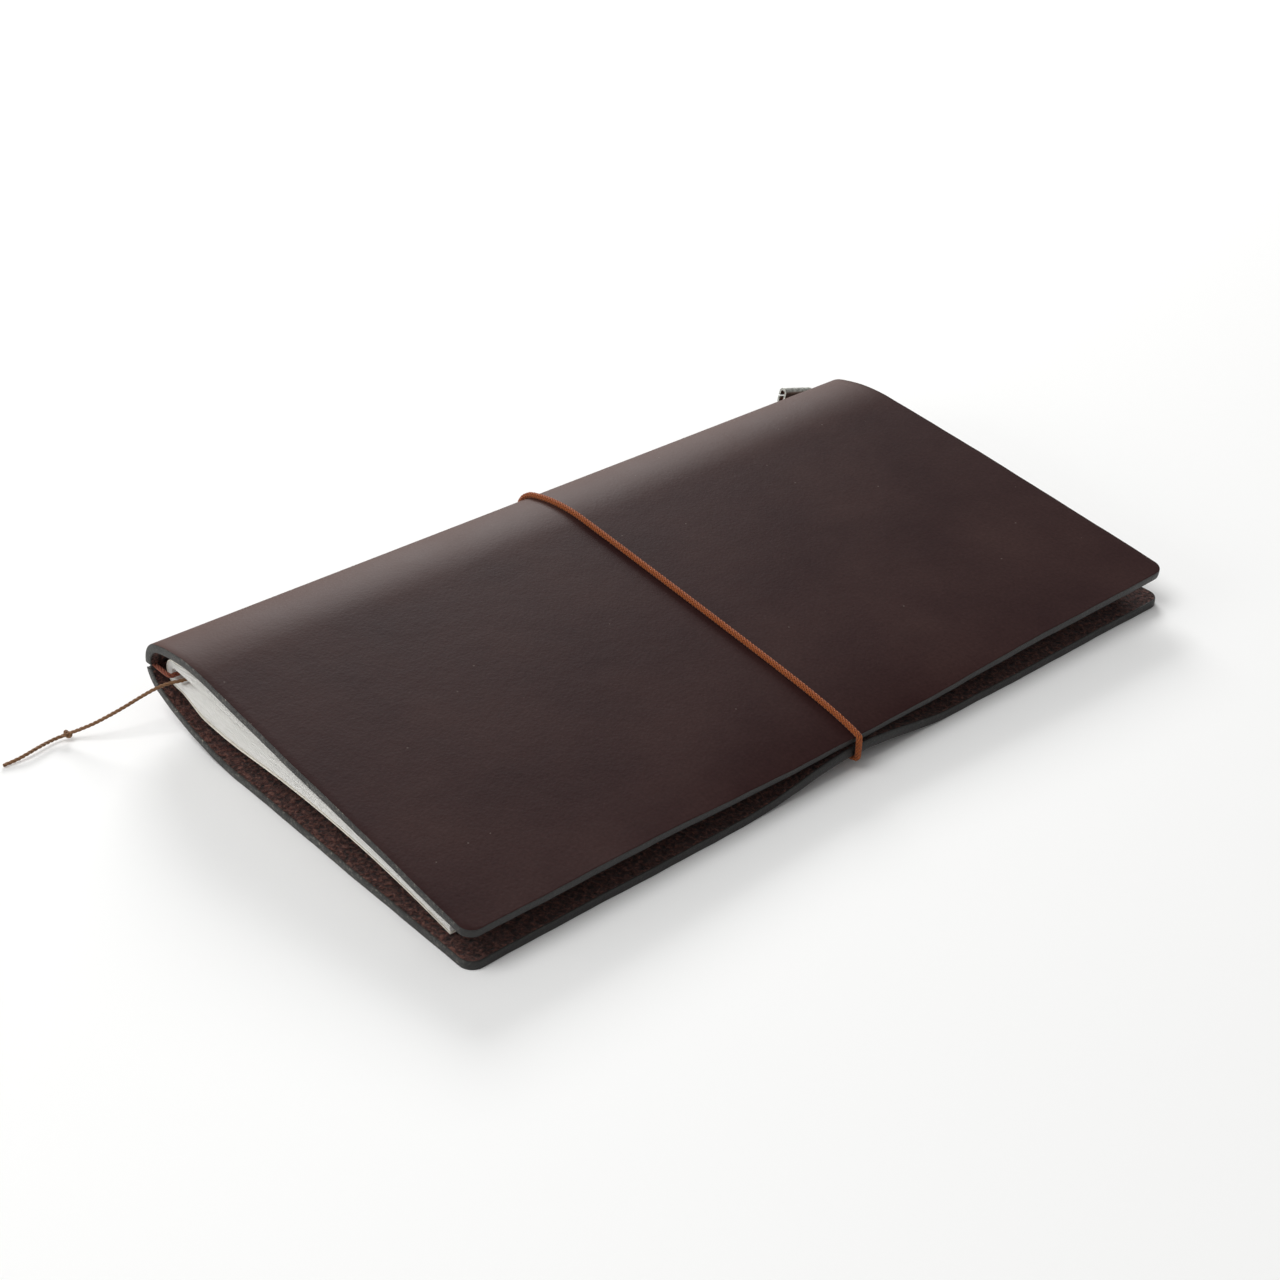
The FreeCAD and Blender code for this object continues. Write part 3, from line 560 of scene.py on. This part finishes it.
def hide_half(name, front):
    rows = hide_rows(front)
    columns = COLUMNS
    share = np.linspace(-1, 1, columns)
    seed = 1.7 if front else 4.4

    def points(inset, depth, pick):
        """Points and flat places of some of the grid's (row, column) pairs."""
        i, j = pick
        angle = np.array([rows[k][0] if rows[k][0] is not None else math.pi / 2 for k in i])
        far = np.array([rows[k][1] if rows[k][1] is not None else 0.0 for k in i])
        corner = np.array([rows[k][0] is not None for k in i])
        tight = CORNER_RADIUS - inset
        d = np.where(corner, CORNER_RADIUS - tight * np.cos(angle), far)
        half = HALF_HEIGHT - CORNER_RADIUS + tight * np.sin(angle)
        y = share[j] * half
        # seam rows are not moved
        fade = np.exp(-d / 5.0)
        d = d + 0.12 * uneven(y, seed) * fade
        y = y + np.sign(share[j]) * 0.10 * uneven(d + 40, seed + 1) * np.abs(share[j]) ** 40 * smooth(
            (total - d) / 10)
        s = PROFILE_LENGTH - d if front else d
        return in_leather(s, y, np.full_like(s, depth)), np.stack([s, y], -1)

    total = PROFILE_LENGTH - HALF_WAY if front else HALF_WAY
    full = np.divmod(np.arange(len(rows) * columns), columns)
    border = np.array(rim(len(rows), columns))
    ring = np.divmod(border, columns)
    at_side = share[ring[1]]
    fore_way = np.where(ring[0] < CORNER_ROWS, 1.0 if front else -1.0, 0.0) * (np.abs(at_side) < 1)
    outwards_uv = np.stack([fore_way, np.where(np.abs(at_side) == 1, np.sign(at_side), 0.0)], -1)

    all_points, all_uvs, faces, indices = [], [], [], []
    grain, grain_uv = points(*BAND[0], full)
    all_points.append(grain)
    all_uvs.append(grain_uv)
    skin = grid_faces(len(rows), columns)
    faces += skin
    indices += [0] * len(skin)
    before = border
    first, rolled = len(full[0]), 0.0
    for number, (inset, depth) in enumerate(BAND[1:-1], start=1):
        rolled += math.hypot(inset - BAND[number - 1][0], depth - BAND[number - 1][1])
        loop, loop_uv = points(inset, depth, ring)
        all_points.append(loop)
        all_uvs.append(loop_uv + outwards_uv * rolled)
        now = first + np.arange(len(border))
        faces += band_faces(before, now)
        indices += [0 if number == 1 else 1] * len(border)
        before, first = now, first + len(border)
    flesh, flesh_uv = points(*BAND[-1], full)
    all_points.append(flesh)
    all_uvs.append(flesh_uv + 400.0)
    faces += grid_faces(len(rows), columns, first)
    indices += [2] * len(skin)
    faces += band_faces(before, first + border)
    indices += [1] * len(border)
    mesh = mesh_from(name, np.concatenate(all_points), faces, np.concatenate(all_uvs), indices,
                     (GRAIN, EDGE, FLESH))
    return new_object(name, mesh)


def band_faces(before, now):
    count = len(before)
    return [(int(before[k]), int(before[(k + 1) % count]), int(now[(k + 1) % count]), int(now[k]))
            for k in range(count)]


def cylinder(x0, x1, y, z, radius, sides=32):
    """Points and faces of a round bar along X."""
    turn = np.linspace(0, 2 * np.pi, sides, endpoint=False)
    ends = [np.stack([np.full(sides, x), y + radius * np.cos(turn), z + radius * np.sin(turn)], -1)
            for x in (x0, x1)]
    faces = [(k, (k + 1) % sides, sides + (k + 1) % sides, sides + k) for k in range(sides)]
    faces += [tuple(range(sides))[::-1], tuple(range(sides, 2 * sides))]
    return np.concatenate(ends), faces


def spine_z(y):
    return float(outer(np.array([HALF_WAY]), np.array([y]))[0, 2])


CLOSING_Z = spine_z(0.0) - 0.9
HEAD_HOLES_Y, TAIL_NOTCH_Y, TAIL_HOLE_Y = 106.6, -108.5, -98.0
STRANDS_APART = 2 * (HOLDER / 2 + 0.15) + 0.3
HEAD_LOW_Z = float(fold_z(REFILL_HEAD)) - 1.4
HEAD_HIGH_Z = HEAD_LOW_Z + STRANDS_APART
TAIL_Z = float(fold_z(REFILL_TAIL))
TAIL_HIGH_Z = TAIL_Z + STRANDS_APART
CLOSING_HOLE, HOLDER_HOLE = 1.8, 0.8                 # radii
PUNCH_SPAN = (-62.5, -55.5)                          # along X, through the spine's wall
HOLES = [(0.0, CLOSING_Z, CLOSING_HOLE), (HEAD_HOLES_Y, HEAD_LOW_Z, HOLDER_HOLE),
         (HEAD_HOLES_Y, HEAD_HIGH_Z, HOLDER_HOLE), (TAIL_HOLE_Y, TAIL_HIGH_Z, HOLDER_HOLE),
         (TAIL_NOTCH_Y, TAIL_Z, HOLDER_HOLE), (TAIL_NOTCH_Y - 0.8, TAIL_Z, HOLDER_HOLE),
         (TAIL_NOTCH_Y - 1.6, TAIL_Z, HOLDER_HOLE)]


def punch(obj):
    """Cuts the cord holes and the tail notch, and gives their walls the edge's finish."""
    for y, z, radius in HOLES:
        points, faces = cylinder(*PUNCH_SPAN, y, z, radius)
        tool_mesh = bpy.data.meshes.new("punch")
        tool_mesh.from_pydata((points * MM).tolist(), [], faces)
        outwards(tool_mesh)
        tool = new_object("punch", tool_mesh)
        cut = obj.modifiers.new("punch", "BOOLEAN")
        cut.operation, cut.solver, cut.object = "DIFFERENCE", "EXACT", tool
        result = bpy.data.meshes.new_from_object(obj.evaluated_get(bpy.context.evaluated_depsgraph_get()))
        obj.modifiers.clear()
        obj.data = result
        bpy.data.objects.remove(tool)
        for face in result.polygons:
            c = face.center / MM
            if c.x < -56 and math.hypot(c.y - y, c.z - z) < radius * 1.001 and abs(face.normal.x) < 0.3:
                face.material_index = 1


def spine_sheen_and_edge_shade(obj):
    """Painted sheen and painted shade: the bend attribute lightens the grain on the upper side towards the
    spine, partly the lighter pull of bent leather, and a second attribute darkens the cut edge towards the
    fore-edge.
    """
    co = np.zeros(len(obj.data.vertices) * 3, np.float32)
    obj.data.vertices.foreach_get("co", co)
    co = co.reshape(-1, 3) / MM
    # painted sheen: rises from x = -30 mm to full at the spine, only above 6 mm
    tail = np.clip((-co[:, 0] - 30) / 28, 0, 1) ** 1.6
    value = obj.data.attributes.new("bend", "FLOAT", "POINT")
    value.data.foreach_set("value", (0.42 * tail * (co[:, 2] > 6)).astype(np.float32))
    # painted shade: near black on the fore-edge's cut edge, and a little darker from the middle of the cover
    # outwards
    painted_fore_edge_shade = 0.85 * smooth((co[:, 0] - 57.5) / 1.5) + 0.3 * smooth((co[:, 0] - 5) / 50)
    value = obj.data.attributes.new("painted_fore_edge_shade", "FLOAT", "POINT")
    value.data.foreach_set("value", np.clip(painted_fore_edge_shade, 0, 0.85).astype(np.float32))


cover_back = hide_half("cover_back_half", front=False)
cover_front = hide_half("cover_front_half", front=True)
for half in (cover_back, cover_front):
    punch(half)
    spine_sheen_and_edge_shade(half)
    half.data.set_sharp_from_angle(angle=math.radians(38))
    half.data.name = half.name
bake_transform(cover_back)
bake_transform(cover_front)
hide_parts("back_cover_leather", "spine_leather")
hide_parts("front_cover_leather", "spine_leather")


# ---- The refill: folded sheets and their card, each in two halves ---------------------------

def folded_half(side, in_fold, share, thickness, tail, head, fore, first):
    """Points, faces and flat places of half a folded sheet, from the fold's middle to its fore-edge."""
    ys = np.linspace(tail, head, 36)
    turns = np.linspace(0, math.pi / 2, 7)
    xs = np.concatenate([FOLD_X + 0.2 + np.array([0, 1.2, 2.4, 3.6, 5, 6.5, 8, 9.5, 11]),
                         np.linspace(FOLD_X + 14, fore, 17)])
    faces_of = []
    for level in (0.0, thickness):
        radius = in_fold + level
        arc_x = np.array([FOLD_X - radius * math.cos(a) for a in turns])
        arc_z = np.array([side * radius * math.sin(a) for a in turns])
        x = np.concatenate([arc_x, xs])[:, None] + 0 * ys[None, :]
        y = ys[None, :] + 0 * x
        z = np.concatenate([arc_z[:, None] + fold_z(ys)[None, :],
                            layer(xs[:, None] + 0 * ys, y[len(turns):], side, in_fold, share, thickness)
                            + side * level])
        faces_of.append(np.stack([x, y, z], -1).reshape(-1, 3))
    rows, columns = len(turns) + len(xs), len(ys)
    flat_x = np.concatenate([turns * in_fold, math.pi / 2 * in_fold + xs - FOLD_X])
    uv = np.stack([flat_x[:, None] + 0 * ys, ys[None, :] + 0 * flat_x[:, None]], -1).reshape(-1, 2)
    count = rows * columns
    border = np.array(rim(rows, columns))
    faces = grid_faces(rows, columns, first) + grid_faces(rows, columns, first + count)
    faces += band_faces(first + border, first + count + border)
    return np.concatenate(faces_of), faces, np.concatenate([uv, uv + 0.3])


def sheets(name, side):
    """Sixteen half sheets in one piece, each cut a hair differently."""
    chance = np.random.default_rng(7 if side < 0 else 8)
    points, faces, uvs, first = [], [], [], 0
    for number in range(SHEETS):
        jog = chance.uniform(-0.12, 0.12, 3)
        made = folded_half(side, FOLD_INSIDE + number * PAPER_PITCH, (number + 0.3) / (SHEETS + 0.6), PAPER,
                           REFILL_TAIL + jog[0], REFILL_HEAD + jog[1], REFILL_FORE + jog[2], first)
        points.append(made[0])
        faces += made[1]
        uvs.append(made[2] + 9.0 * number)
        first += len(made[0])
    return new_object(name, mesh_from(name, np.concatenate(points), faces, np.concatenate(uvs),
                                      materials=(PAPER_SHEET,)))


def card_half(name, side):
    points, faces, uvs = folded_half(side, CARD_INSIDE, 1.0, CARD, REFILL_TAIL - 0.1, REFILL_HEAD + 0.1,
                                     REFILL_FORE + 0.15, 0)
    return new_object(name, mesh_from(name, points, faces, uvs, materials=(COVER_CARD,)))


NUMBERS = range(1, SHEETS + 1)
for ending, side in (("back", -1), ("front", 1)):
    paper_half, cover_card = sheets("sheets_%s_half" % ending, side), card_half("card_%s_half" % ending, side)
    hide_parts("sheet_folds", *["sheet_%02d_%s_leaf" % (n, ending) for n in NUMBERS])
    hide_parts("refill_card_fold", "refill_card_" + ending)
    for piece in (paper_half, cover_card):
        piece.data.set_sharp_from_angle(angle=math.radians(50))
        if side < 0:
            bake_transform(piece)
        else:
            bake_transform(piece)


# ---- Cords ------------------------------------------------------------------------------------

def spline_line(points):
    """Points, in millimetres, along the smooth NURBS line of a route."""
    data = bpy.data.curves.new("route", "CURVE")
    data.dimensions = "3D"
    data.resolution_u = 20
    spline = data.splines.new("NURBS")
    spline.points.add(len(points) - 1)
    for control, place in zip(spline.points, points):
        control.co = (*(float(v) * MM for v in place), 1.0)
    spline.order_u = 3
    spline.use_endpoint_u = True
    route = new_object("route", data)
    line = bpy.data.meshes.new_from_object(route.evaluated_get(bpy.context.evaluated_depsgraph_get()))
    co = np.array([v.co for v in line.vertices]) / MM
    bpy.data.objects.remove(route)
    return co


def cord_nodes():
    """Yarns laid round a core along a line: braided when Braided is on, twisted when it is off."""
    tree = bpy.data.node_groups.new("laid_yarns", "GeometryNodeTree")

    def socket(name, kind, flow="INPUT", value=None):
        made = tree.interface.new_socket(name=name, in_out=flow, socket_type=kind)
        if value is not None:
            made.default_value = value

    socket("Line", "NodeSocketGeometry")
    socket("Radius", "NodeSocketFloat", value=0.0008)
    socket("Yarns", "NodeSocketInt", value=8)
    socket("Yarn radius", "NodeSocketFloat", value=0.0002)
    socket("Lay length", "NodeSocketFloat", value=0.006)
    socket("Weave depth", "NodeSocketFloat", value=0.00006)
    socket("Braided", "NodeSocketFloat", value=1.0)
    socket("Step", "NodeSocketFloat", value=0.0003)
    socket("Yarn", "NodeSocketMaterial")
    socket("Cord", "NodeSocketGeometry", "OUTPUT")
    given = tree.nodes.new("NodeGroupInput").outputs

    def maths(operation, *values):
        return add(tree, "ShaderNodeMath", dict(enumerate(values)), operation=operation).outputs[0]

    def scaled(vector, factor):
        return add(tree, "ShaderNodeVectorMath", {0: vector, "Scale": factor}, operation="SCALE").outputs[0]

    curve = add(tree, "GeometryNodeMeshToCurve", {"Mesh": given["Line"]}).outputs["Curve"]
    curve = add(tree, "GeometryNodeResampleCurve", {"Curve": curve, "Length": given["Step"]},
                mode="LENGTH").outputs["Curve"]
    core_ring = add(tree, "GeometryNodeCurvePrimitiveCircle", {"Resolution": 10, "Radius": maths(
        "SUBTRACT", given["Radius"], maths("MULTIPLY", given["Yarn radius"], 1.25))}).outputs["Curve"]
    core = add(tree, "GeometryNodeCurveToMesh", {"Curve": curve, "Profile Curve": core_ring,
                                                 "Fill Caps": True}).outputs["Mesh"]
    copies = add(tree, "GeometryNodeDuplicateElements", {"Geometry": curve, "Amount": given["Yarns"]},
                 domain="SPLINE")
    number = copies.outputs["Duplicate Index"]
    parity = maths("MULTIPLY", maths("MODULO", number, 2.0), given["Braided"])
    way = maths("SUBTRACT", 1.0, maths("MULTIPLY", parity, 2.0))
    along = add(tree, "GeometryNodeSplineParameter").outputs["Length"]
    turns = maths("DIVIDE", along, given["Lay length"])
    phase = maths("MULTIPLY", maths("DIVIDE", number, given["Yarns"]), 2 * math.pi)
    angle = maths("ADD", maths("MULTIPLY", maths("MULTIPLY", turns, 2 * math.pi), way), phase)
    wave = maths("COSINE", maths("MULTIPLY", maths("MULTIPLY", turns, math.pi), given["Yarns"]))
    out = maths("ADD", maths("SUBTRACT", maths("SUBTRACT", given["Radius"], given["Yarn radius"]),
                             given["Weave depth"]),
                maths("MULTIPLY", maths("MULTIPLY", wave, way), given["Weave depth"]))
    normal = tree.nodes.new("GeometryNodeInputNormal").outputs["Normal"]
    tangent = tree.nodes.new("GeometryNodeInputTangent").outputs["Tangent"]
    binormal = add(tree, "ShaderNodeVectorMath", {0: tangent, 1: normal},
                   operation="CROSS_PRODUCT").outputs[0]
    offset = add(tree, "ShaderNodeVectorMath", {
        0: scaled(normal, maths("MULTIPLY", maths("COSINE", angle), out)),
        1: scaled(binormal, maths("MULTIPLY", maths("SINE", angle), out))}, operation="ADD").outputs[0]
    laid = add(tree, "GeometryNodeSetPosition", {"Geometry": copies.outputs["Geometry"], "Offset": offset})
    ring = add(tree, "GeometryNodeCurvePrimitiveCircle", {"Resolution": 5, "Radius": given["Yarn radius"]})
    yarns = add(tree, "GeometryNodeCurveToMesh",
                {"Curve": laid.outputs[0], "Profile Curve": ring.outputs["Curve"],
                 "Fill Caps": True}).outputs["Mesh"]
    # painted shade and highlight: each yarn is stored lighter on its crown and darker where it dips under the
    # crossing yarns
    painted_weave_light = maths("MULTIPLY_ADD", maths("MULTIPLY", wave, way), 0.25, 0.7)
    lit = add(tree, "GeometryNodeStoreNamedAttribute",
              {"Geometry": yarns, "Name": "yarn", "Value": painted_weave_light},
              data_type="FLOAT", domain="POINT").outputs["Geometry"]
    both = tree.nodes.new("GeometryNodeJoinGeometry")
    for part in (lit, core):
        tree.links.new(part, both.inputs["Geometry"])
    realised = add(tree, "GeometryNodeRealizeInstances", {"Geometry": both.outputs[0]}).outputs[0]
    finished = add(tree, "GeometryNodeSetMaterial",
                   {"Geometry": realised, "Material": given["Yarn"]}).outputs[0]
    tree.links.new(finished, tree.nodes.new("NodeGroupOutput").inputs["Cord"])
    return tree


LAID_YARNS = cord_nodes()


def laid_cord(name, line, radius, skin, yarns, yarn_radius, lay, weave, step, loop=False):
    """A cord of real yarns round a line, everything in millimetres."""
    count = len(line) - 1 if loop else len(line)
    data = bpy.data.meshes.new(name)
    data.from_pydata((np.asarray(line[:count]) * MM).tolist(),
                     [(k, (k + 1) % count) for k in range(count if loop else count - 1)], [])
    cord = new_object(name, data)
    made = cord.modifiers.new("yarns", "NODES")
    made.node_group = LAID_YARNS
    values = {"Radius": radius * MM, "Yarns": yarns, "Yarn radius": yarn_radius * MM, "Lay length": lay * MM,
              "Weave depth": weave * MM, "Braided": 1.0 if weave else 0.0, "Step": step * MM, "Yarn": skin}
    for item in LAID_YARNS.interface.items_tree:
        if item.item_type == "SOCKET" and item.name in values:
            made[item.identifier] = values[item.name]
    result = bpy.data.meshes.new_from_object(cord.evaluated_get(bpy.context.evaluated_depsgraph_get()))
    cord.modifiers.clear()
    cord.data = result
    outwards(result)
    result.shade_smooth()
    result.name = name
    return cord


def knot_line(centre, size, axis_x):
    """A trefoil, the shape of a pulled overhand knot."""
    t = np.linspace(0, 2 * np.pi, 121)
    shape = np.stack([np.sin(t) + 2 * np.sin(2 * t), np.cos(t) - 2 * np.cos(2 * t), -np.sin(3 * t)], -1)
    if axis_x:
        shape = shape[:, [2, 0, 1]]
    return np.asarray(centre) + shape * size


# the closing elastic: out of the hole, over the front cover, round the fore-edge and back
SET_IN = 0.06                                    # the cord beds into the leather by this much
LIFT = -(ELASTIC / 2 - SET_IN)
over = in_leather(np.concatenate([[at_heading(a) for a in (104, 112, 122, 132, 144, 156)],
                                  np.arange(at_heading(163) + 1, PROFILE_LENGTH - 1.2, 3.0),
                                  [PROFILE_LENGTH - 0.6]]), np.float64(0.0), LIFT)
under = in_leather(np.concatenate([[0.6], np.arange(2.4, at_heading(23) - 1, 3.0),
                                   [at_heading(a) for a in (30, 40, 50, 60, 68)]]), np.float64(0.0), LIFT)
top_edge = outer(np.array([PROFILE_LENGTH]), np.array([0.0]))[0]
low_edge = outer(np.array([0.0]), np.array([0.0]))[0]
reach = ELASTIC / 2 - 0.05
turn_top = [top_edge + (0.15 * reach, 0, 0.95 * reach), top_edge + (0.7 * reach, 0, 0.8 * reach),
            top_edge + (0.98 * reach, 0, 0.1 * reach), top_edge + (reach, 0, -1.0)]
turn_low = [low_edge + (reach, 0, 0.6), low_edge + (0.95 * reach, 0, -0.35 * reach),
            low_edge + (0.45 * reach, 0, -0.9 * reach)]
strand = ELASTIC / 2 + 0.02
into_top = [(-61.0, 0, CLOSING_Z + strand + 1.0), (-60.9, 0, CLOSING_Z + strand + 0.2),
            (-60.2, 0, CLOSING_Z + strand), (-58.0, 0, CLOSING_Z + strand), (-56.5, 0, CLOSING_Z + strand)]
into_low = [(-60.9, 0, CLOSING_Z - strand - 0.9), (-60.8, 0, CLOSING_Z - strand - 0.2),
            (-60.2, 0, CLOSING_Z - strand), (-58.0, 0, CLOSING_Z - strand), (-56.5, 0, CLOSING_Z - strand)]
elastic_line = spline_line([*into_top[::-1], *over, *turn_top, *turn_low, *under, *into_low])
closing = laid_cord("closing_elastic", elastic_line, ELASTIC / 2, CLOSING_YARN, 12, 0.2, 6.0, 0.06, 0.28)
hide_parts("closure_elastic")
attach(closing, "spine")
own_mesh(closing)

closing_knot = laid_cord("closing_knot", knot_line((-56.2, 0, CLOSING_Z), 0.36, True), 0.62,
                         CLOSING_YARN, 12, 0.16, 5.0, 0.05, 0.2, loop=True)
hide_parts("closure_elastic_knot")
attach(closing_knot, "spine")

# the holding elastic: both ends in the clip, through the head holes, down the fold and back up the spine
CLIP_TURN = np.array([-60.0 - 0.2 - HOLDER, HEAD_HOLES_Y, (HEAD_LOW_Z + HEAD_HIGH_Z) / 2])
lean = Matrix.Rotation(math.radians(-6), 3, "Z") @ Matrix.Rotation(math.radians(-14), 3, "X")


def in_clip(distance, up):
    return CLIP_TURN + np.array(lean @ Vector((0, -distance, up)))


half_apart = STRANDS_APART / 2
fold_head, fold_tail = float(fold_z(REFILL_HEAD)), float(fold_z(REFILL_TAIL))
holding_route = [
    *[in_clip(distance, -half_apart) for distance in (11.0, 6.0, 2.0, 0.7)],
    (-61.0, HEAD_HOLES_Y, HEAD_LOW_Z), (-59.0, HEAD_HOLES_Y, HEAD_LOW_Z),
    (-56.6, HEAD_HOLES_Y, HEAD_LOW_Z + 0.1),
    (-53.2, HEAD_HOLES_Y, fold_head - 0.3), (FOLD_X - 0.1, HEAD_HOLES_Y - 0.2, fold_head),
    (FOLD_X, HEAD_HOLES_Y - 1.6, fold_head), *[(FOLD_X, y, float(fold_z(y))) for y in (60.0, 0.0, -60.0)],
    (FOLD_X, TAIL_NOTCH_Y + 1.4, fold_tail),
    (FOLD_X - 0.1, TAIL_NOTCH_Y + 0.2, fold_tail), (FOLD_X - 1.6, TAIL_NOTCH_Y, fold_tail),
    (-57.0, TAIL_NOTCH_Y, TAIL_Z), (-59.8, TAIL_NOTCH_Y, TAIL_Z), (-60.6, TAIL_NOTCH_Y + 0.3, TAIL_Z),
    (-60.75, TAIL_NOTCH_Y + 1.6, TAIL_Z + 0.3), (-60.75, TAIL_HOLE_Y - 1.6, TAIL_HIGH_Z - 0.2),
    (-60.6, TAIL_HOLE_Y - 0.2, TAIL_HIGH_Z), (-59.6, TAIL_HOLE_Y, TAIL_HIGH_Z),
    (-57.4, TAIL_HOLE_Y + 0.1, TAIL_HIGH_Z),
    (-56.9, TAIL_HOLE_Y + 1.8, TAIL_HIGH_Z + 0.1),
    *in_leather(np.full(4, at_heading(118)), np.array([-84.0, -28.0, 28.0, 92.0]), 3.05),
    (-56.5, HEAD_HOLES_Y - 2.0, HEAD_HIGH_Z + 0.3), (-56.8, HEAD_HOLES_Y - 0.2, HEAD_HIGH_Z),
    (-58.6, HEAD_HOLES_Y, HEAD_HIGH_Z), (-61.0, HEAD_HOLES_Y, HEAD_HIGH_Z),
    *[in_clip(distance, half_apart) for distance in (0.7, 2.0, 6.0, 11.0)],
]
holding = laid_cord("holding_elastic", spline_line(holding_route), HOLDER / 2, HOLDING_YARN,
                    8, 0.2, 5.0, 0.05, 0.4)
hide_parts("refill_elastic")
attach(holding, "spine")

# the bookmark: held beside the fold, then free over the tail edge and down to the ground
MARK_X = FOLD_X + 3.0


def on_spread(y):
    x, y = np.array([MARK_X]), np.array([y])
    return float((spread(x, y) - half_gap(x) * 0.25)[0])


held_points = [(MARK_X, y, on_spread(y)) for y in (100.0, 80.0, 60.0, 40.0, 20.0, 0.0, -20.0, -40.0, -60.0,
                                                    -80.0, -101.0, -107.0)]
held = laid_cord("bookmark_laid_in", spline_line(held_points), BOOKMARK / 2, BOOKMARK_YARN,
                 3, 0.22, 3.4, 0, 0.3)
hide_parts("bookmark_held")
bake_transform(held)

BOOKMARK_EXIT = (MARK_X * MM, REFILL_TAIL * MM, on_spread(REFILL_TAIL) * MM)
BOOKMARK_ROUTE = [                                # metres
    BOOKMARK_EXIT, (-0.0503, -0.1100, 0.0123), (-0.0520, -0.1126, 0.0110), (-0.0533, -0.1154, 0.0094),
    (-0.0546, -0.1189, 0.0076), (-0.0559, -0.1224, 0.0059), (-0.0573, -0.1254, 0.0044),
    (-0.0592, -0.1282, 0.0029), (-0.0612, -0.1309, 0.0015), (-0.0619, -0.1339, 0.0011),
    (-0.0612, -0.1373, 0.0013), (-0.0606, -0.1409, 0.0012), (-0.0605, -0.1441, 0.0008),
    (-0.0609, -0.1472, 0.0005)]
bookmark_line = spline_line(np.array(BOOKMARK_ROUTE) / MM)
bookmark = laid_cord("bookmark_twisted", bookmark_line, BOOKMARK / 2, BOOKMARK_YARN, 3, 0.22, 3.4, 0, 0.15)
knot_at = bookmark_line[np.argmin(np.linalg.norm(bookmark_line - np.array(BOOKMARK_ROUTE[8]) / MM, axis=1))]
bookmark_knot = laid_cord("bookmark_knot_pulled", knot_line(knot_at, 0.30, False), 0.42, BOOKMARK_YARN,
                          3, 0.2, 3.4, 0, 0.12, loop=True)
for piece, node in ((bookmark, "bookmark_cord"), (bookmark_knot, "bookmark_knot")):
    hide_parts(node)
    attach(piece, "back_cover")


# ---- Pieces that keep their CAD shape -------------------------------------------------------

for node, finish in (("spine_clip", TIN), ("staples", STEEL_WIRE)):
    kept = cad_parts[node]
    kept.data.materials.clear()
    kept.data.materials.append(finish)


# ---- Studio ---------------------------------------------------------------------------------

def make_camera():
    azimuth, elevation, roll = (math.radians(a) for a in (47.824, 33.347, 1.705))
    target, distance = Vector((-0.004566, -0.007989, 0.005)), 0.57068
    back = Vector((math.sin(azimuth) * math.cos(elevation), -math.cos(azimuth) * math.cos(elevation),
                   math.sin(elevation)))
    right = (-back).cross(Vector((0, 0, 1))).normalized()
    up = right.cross(-back)
    right, up = (right * math.cos(roll) + up * math.sin(roll), up * math.cos(roll) - right * math.sin(roll))
    data = bpy.data.cameras.new("camera")
    data.lens, data.sensor_width = 66.886, 36.0
    camera = new_object("camera", data)
    place = target + back * distance
    camera.matrix_world = Matrix(((right.x, up.x, back.x, place.x), (right.y, up.y, back.y, place.y),
                                  (right.z, up.z, back.z, place.z), (0, 0, 0, 1)))
    bpy.context.scene.camera = camera


def softbox(name, place, size, power):
    """A rectangular soft light aimed at the object."""
    data = bpy.data.lights.new(name, "AREA")
    data.shape = "RECTANGLE"
    data.size, data.size_y = size
    data.energy = power
    lamp = new_object(name, data)
    lamp.location = place
    lamp.rotation_mode = "QUATERNION"
    lamp.rotation_quaternion = (-Vector(place)).to_track_quat("-Z", "Y")


make_camera()
softbox("window", (-1.3, 0.75, 0.62), (0.7, 0.5), 19)
softbox("overhead", (-0.25, -0.75, 1.5), (1.0, 1.0), 13)
softbox("tail_side", (-0.5, -1.3, 0.5), (0.9, 0.5), 3)
world = bpy.data.worlds.new("studio")
world.use_nodes = True
world.node_tree.nodes["Background"].inputs["Color"].default_value = (1, 1, 1, 1)
world.node_tree.nodes["Background"].inputs["Strength"].default_value = 0.36
bpy.context.scene.world = world
bpy.context.scene.view_settings.view_transform = "Standard"

FLOOR = 4.0
floor_mesh = bpy.data.meshes.new("floor")
floor_mesh.from_pydata([(-FLOOR, -FLOOR, 0), (FLOOR, -FLOOR, 0), (FLOOR, FLOOR, 0), (-FLOOR, FLOOR, 0)], [],
                       [(0, 1, 2, 3)])
floor_finish, _, floor_shader, _ = material("matt_white_board")
floor_shader.inputs["Base Color"].default_value = colour("#fafaf9")
floor_shader.inputs["Roughness"].default_value = 0.9
floor_mesh.materials.append(floor_finish)
new_object("floor", floor_mesh)
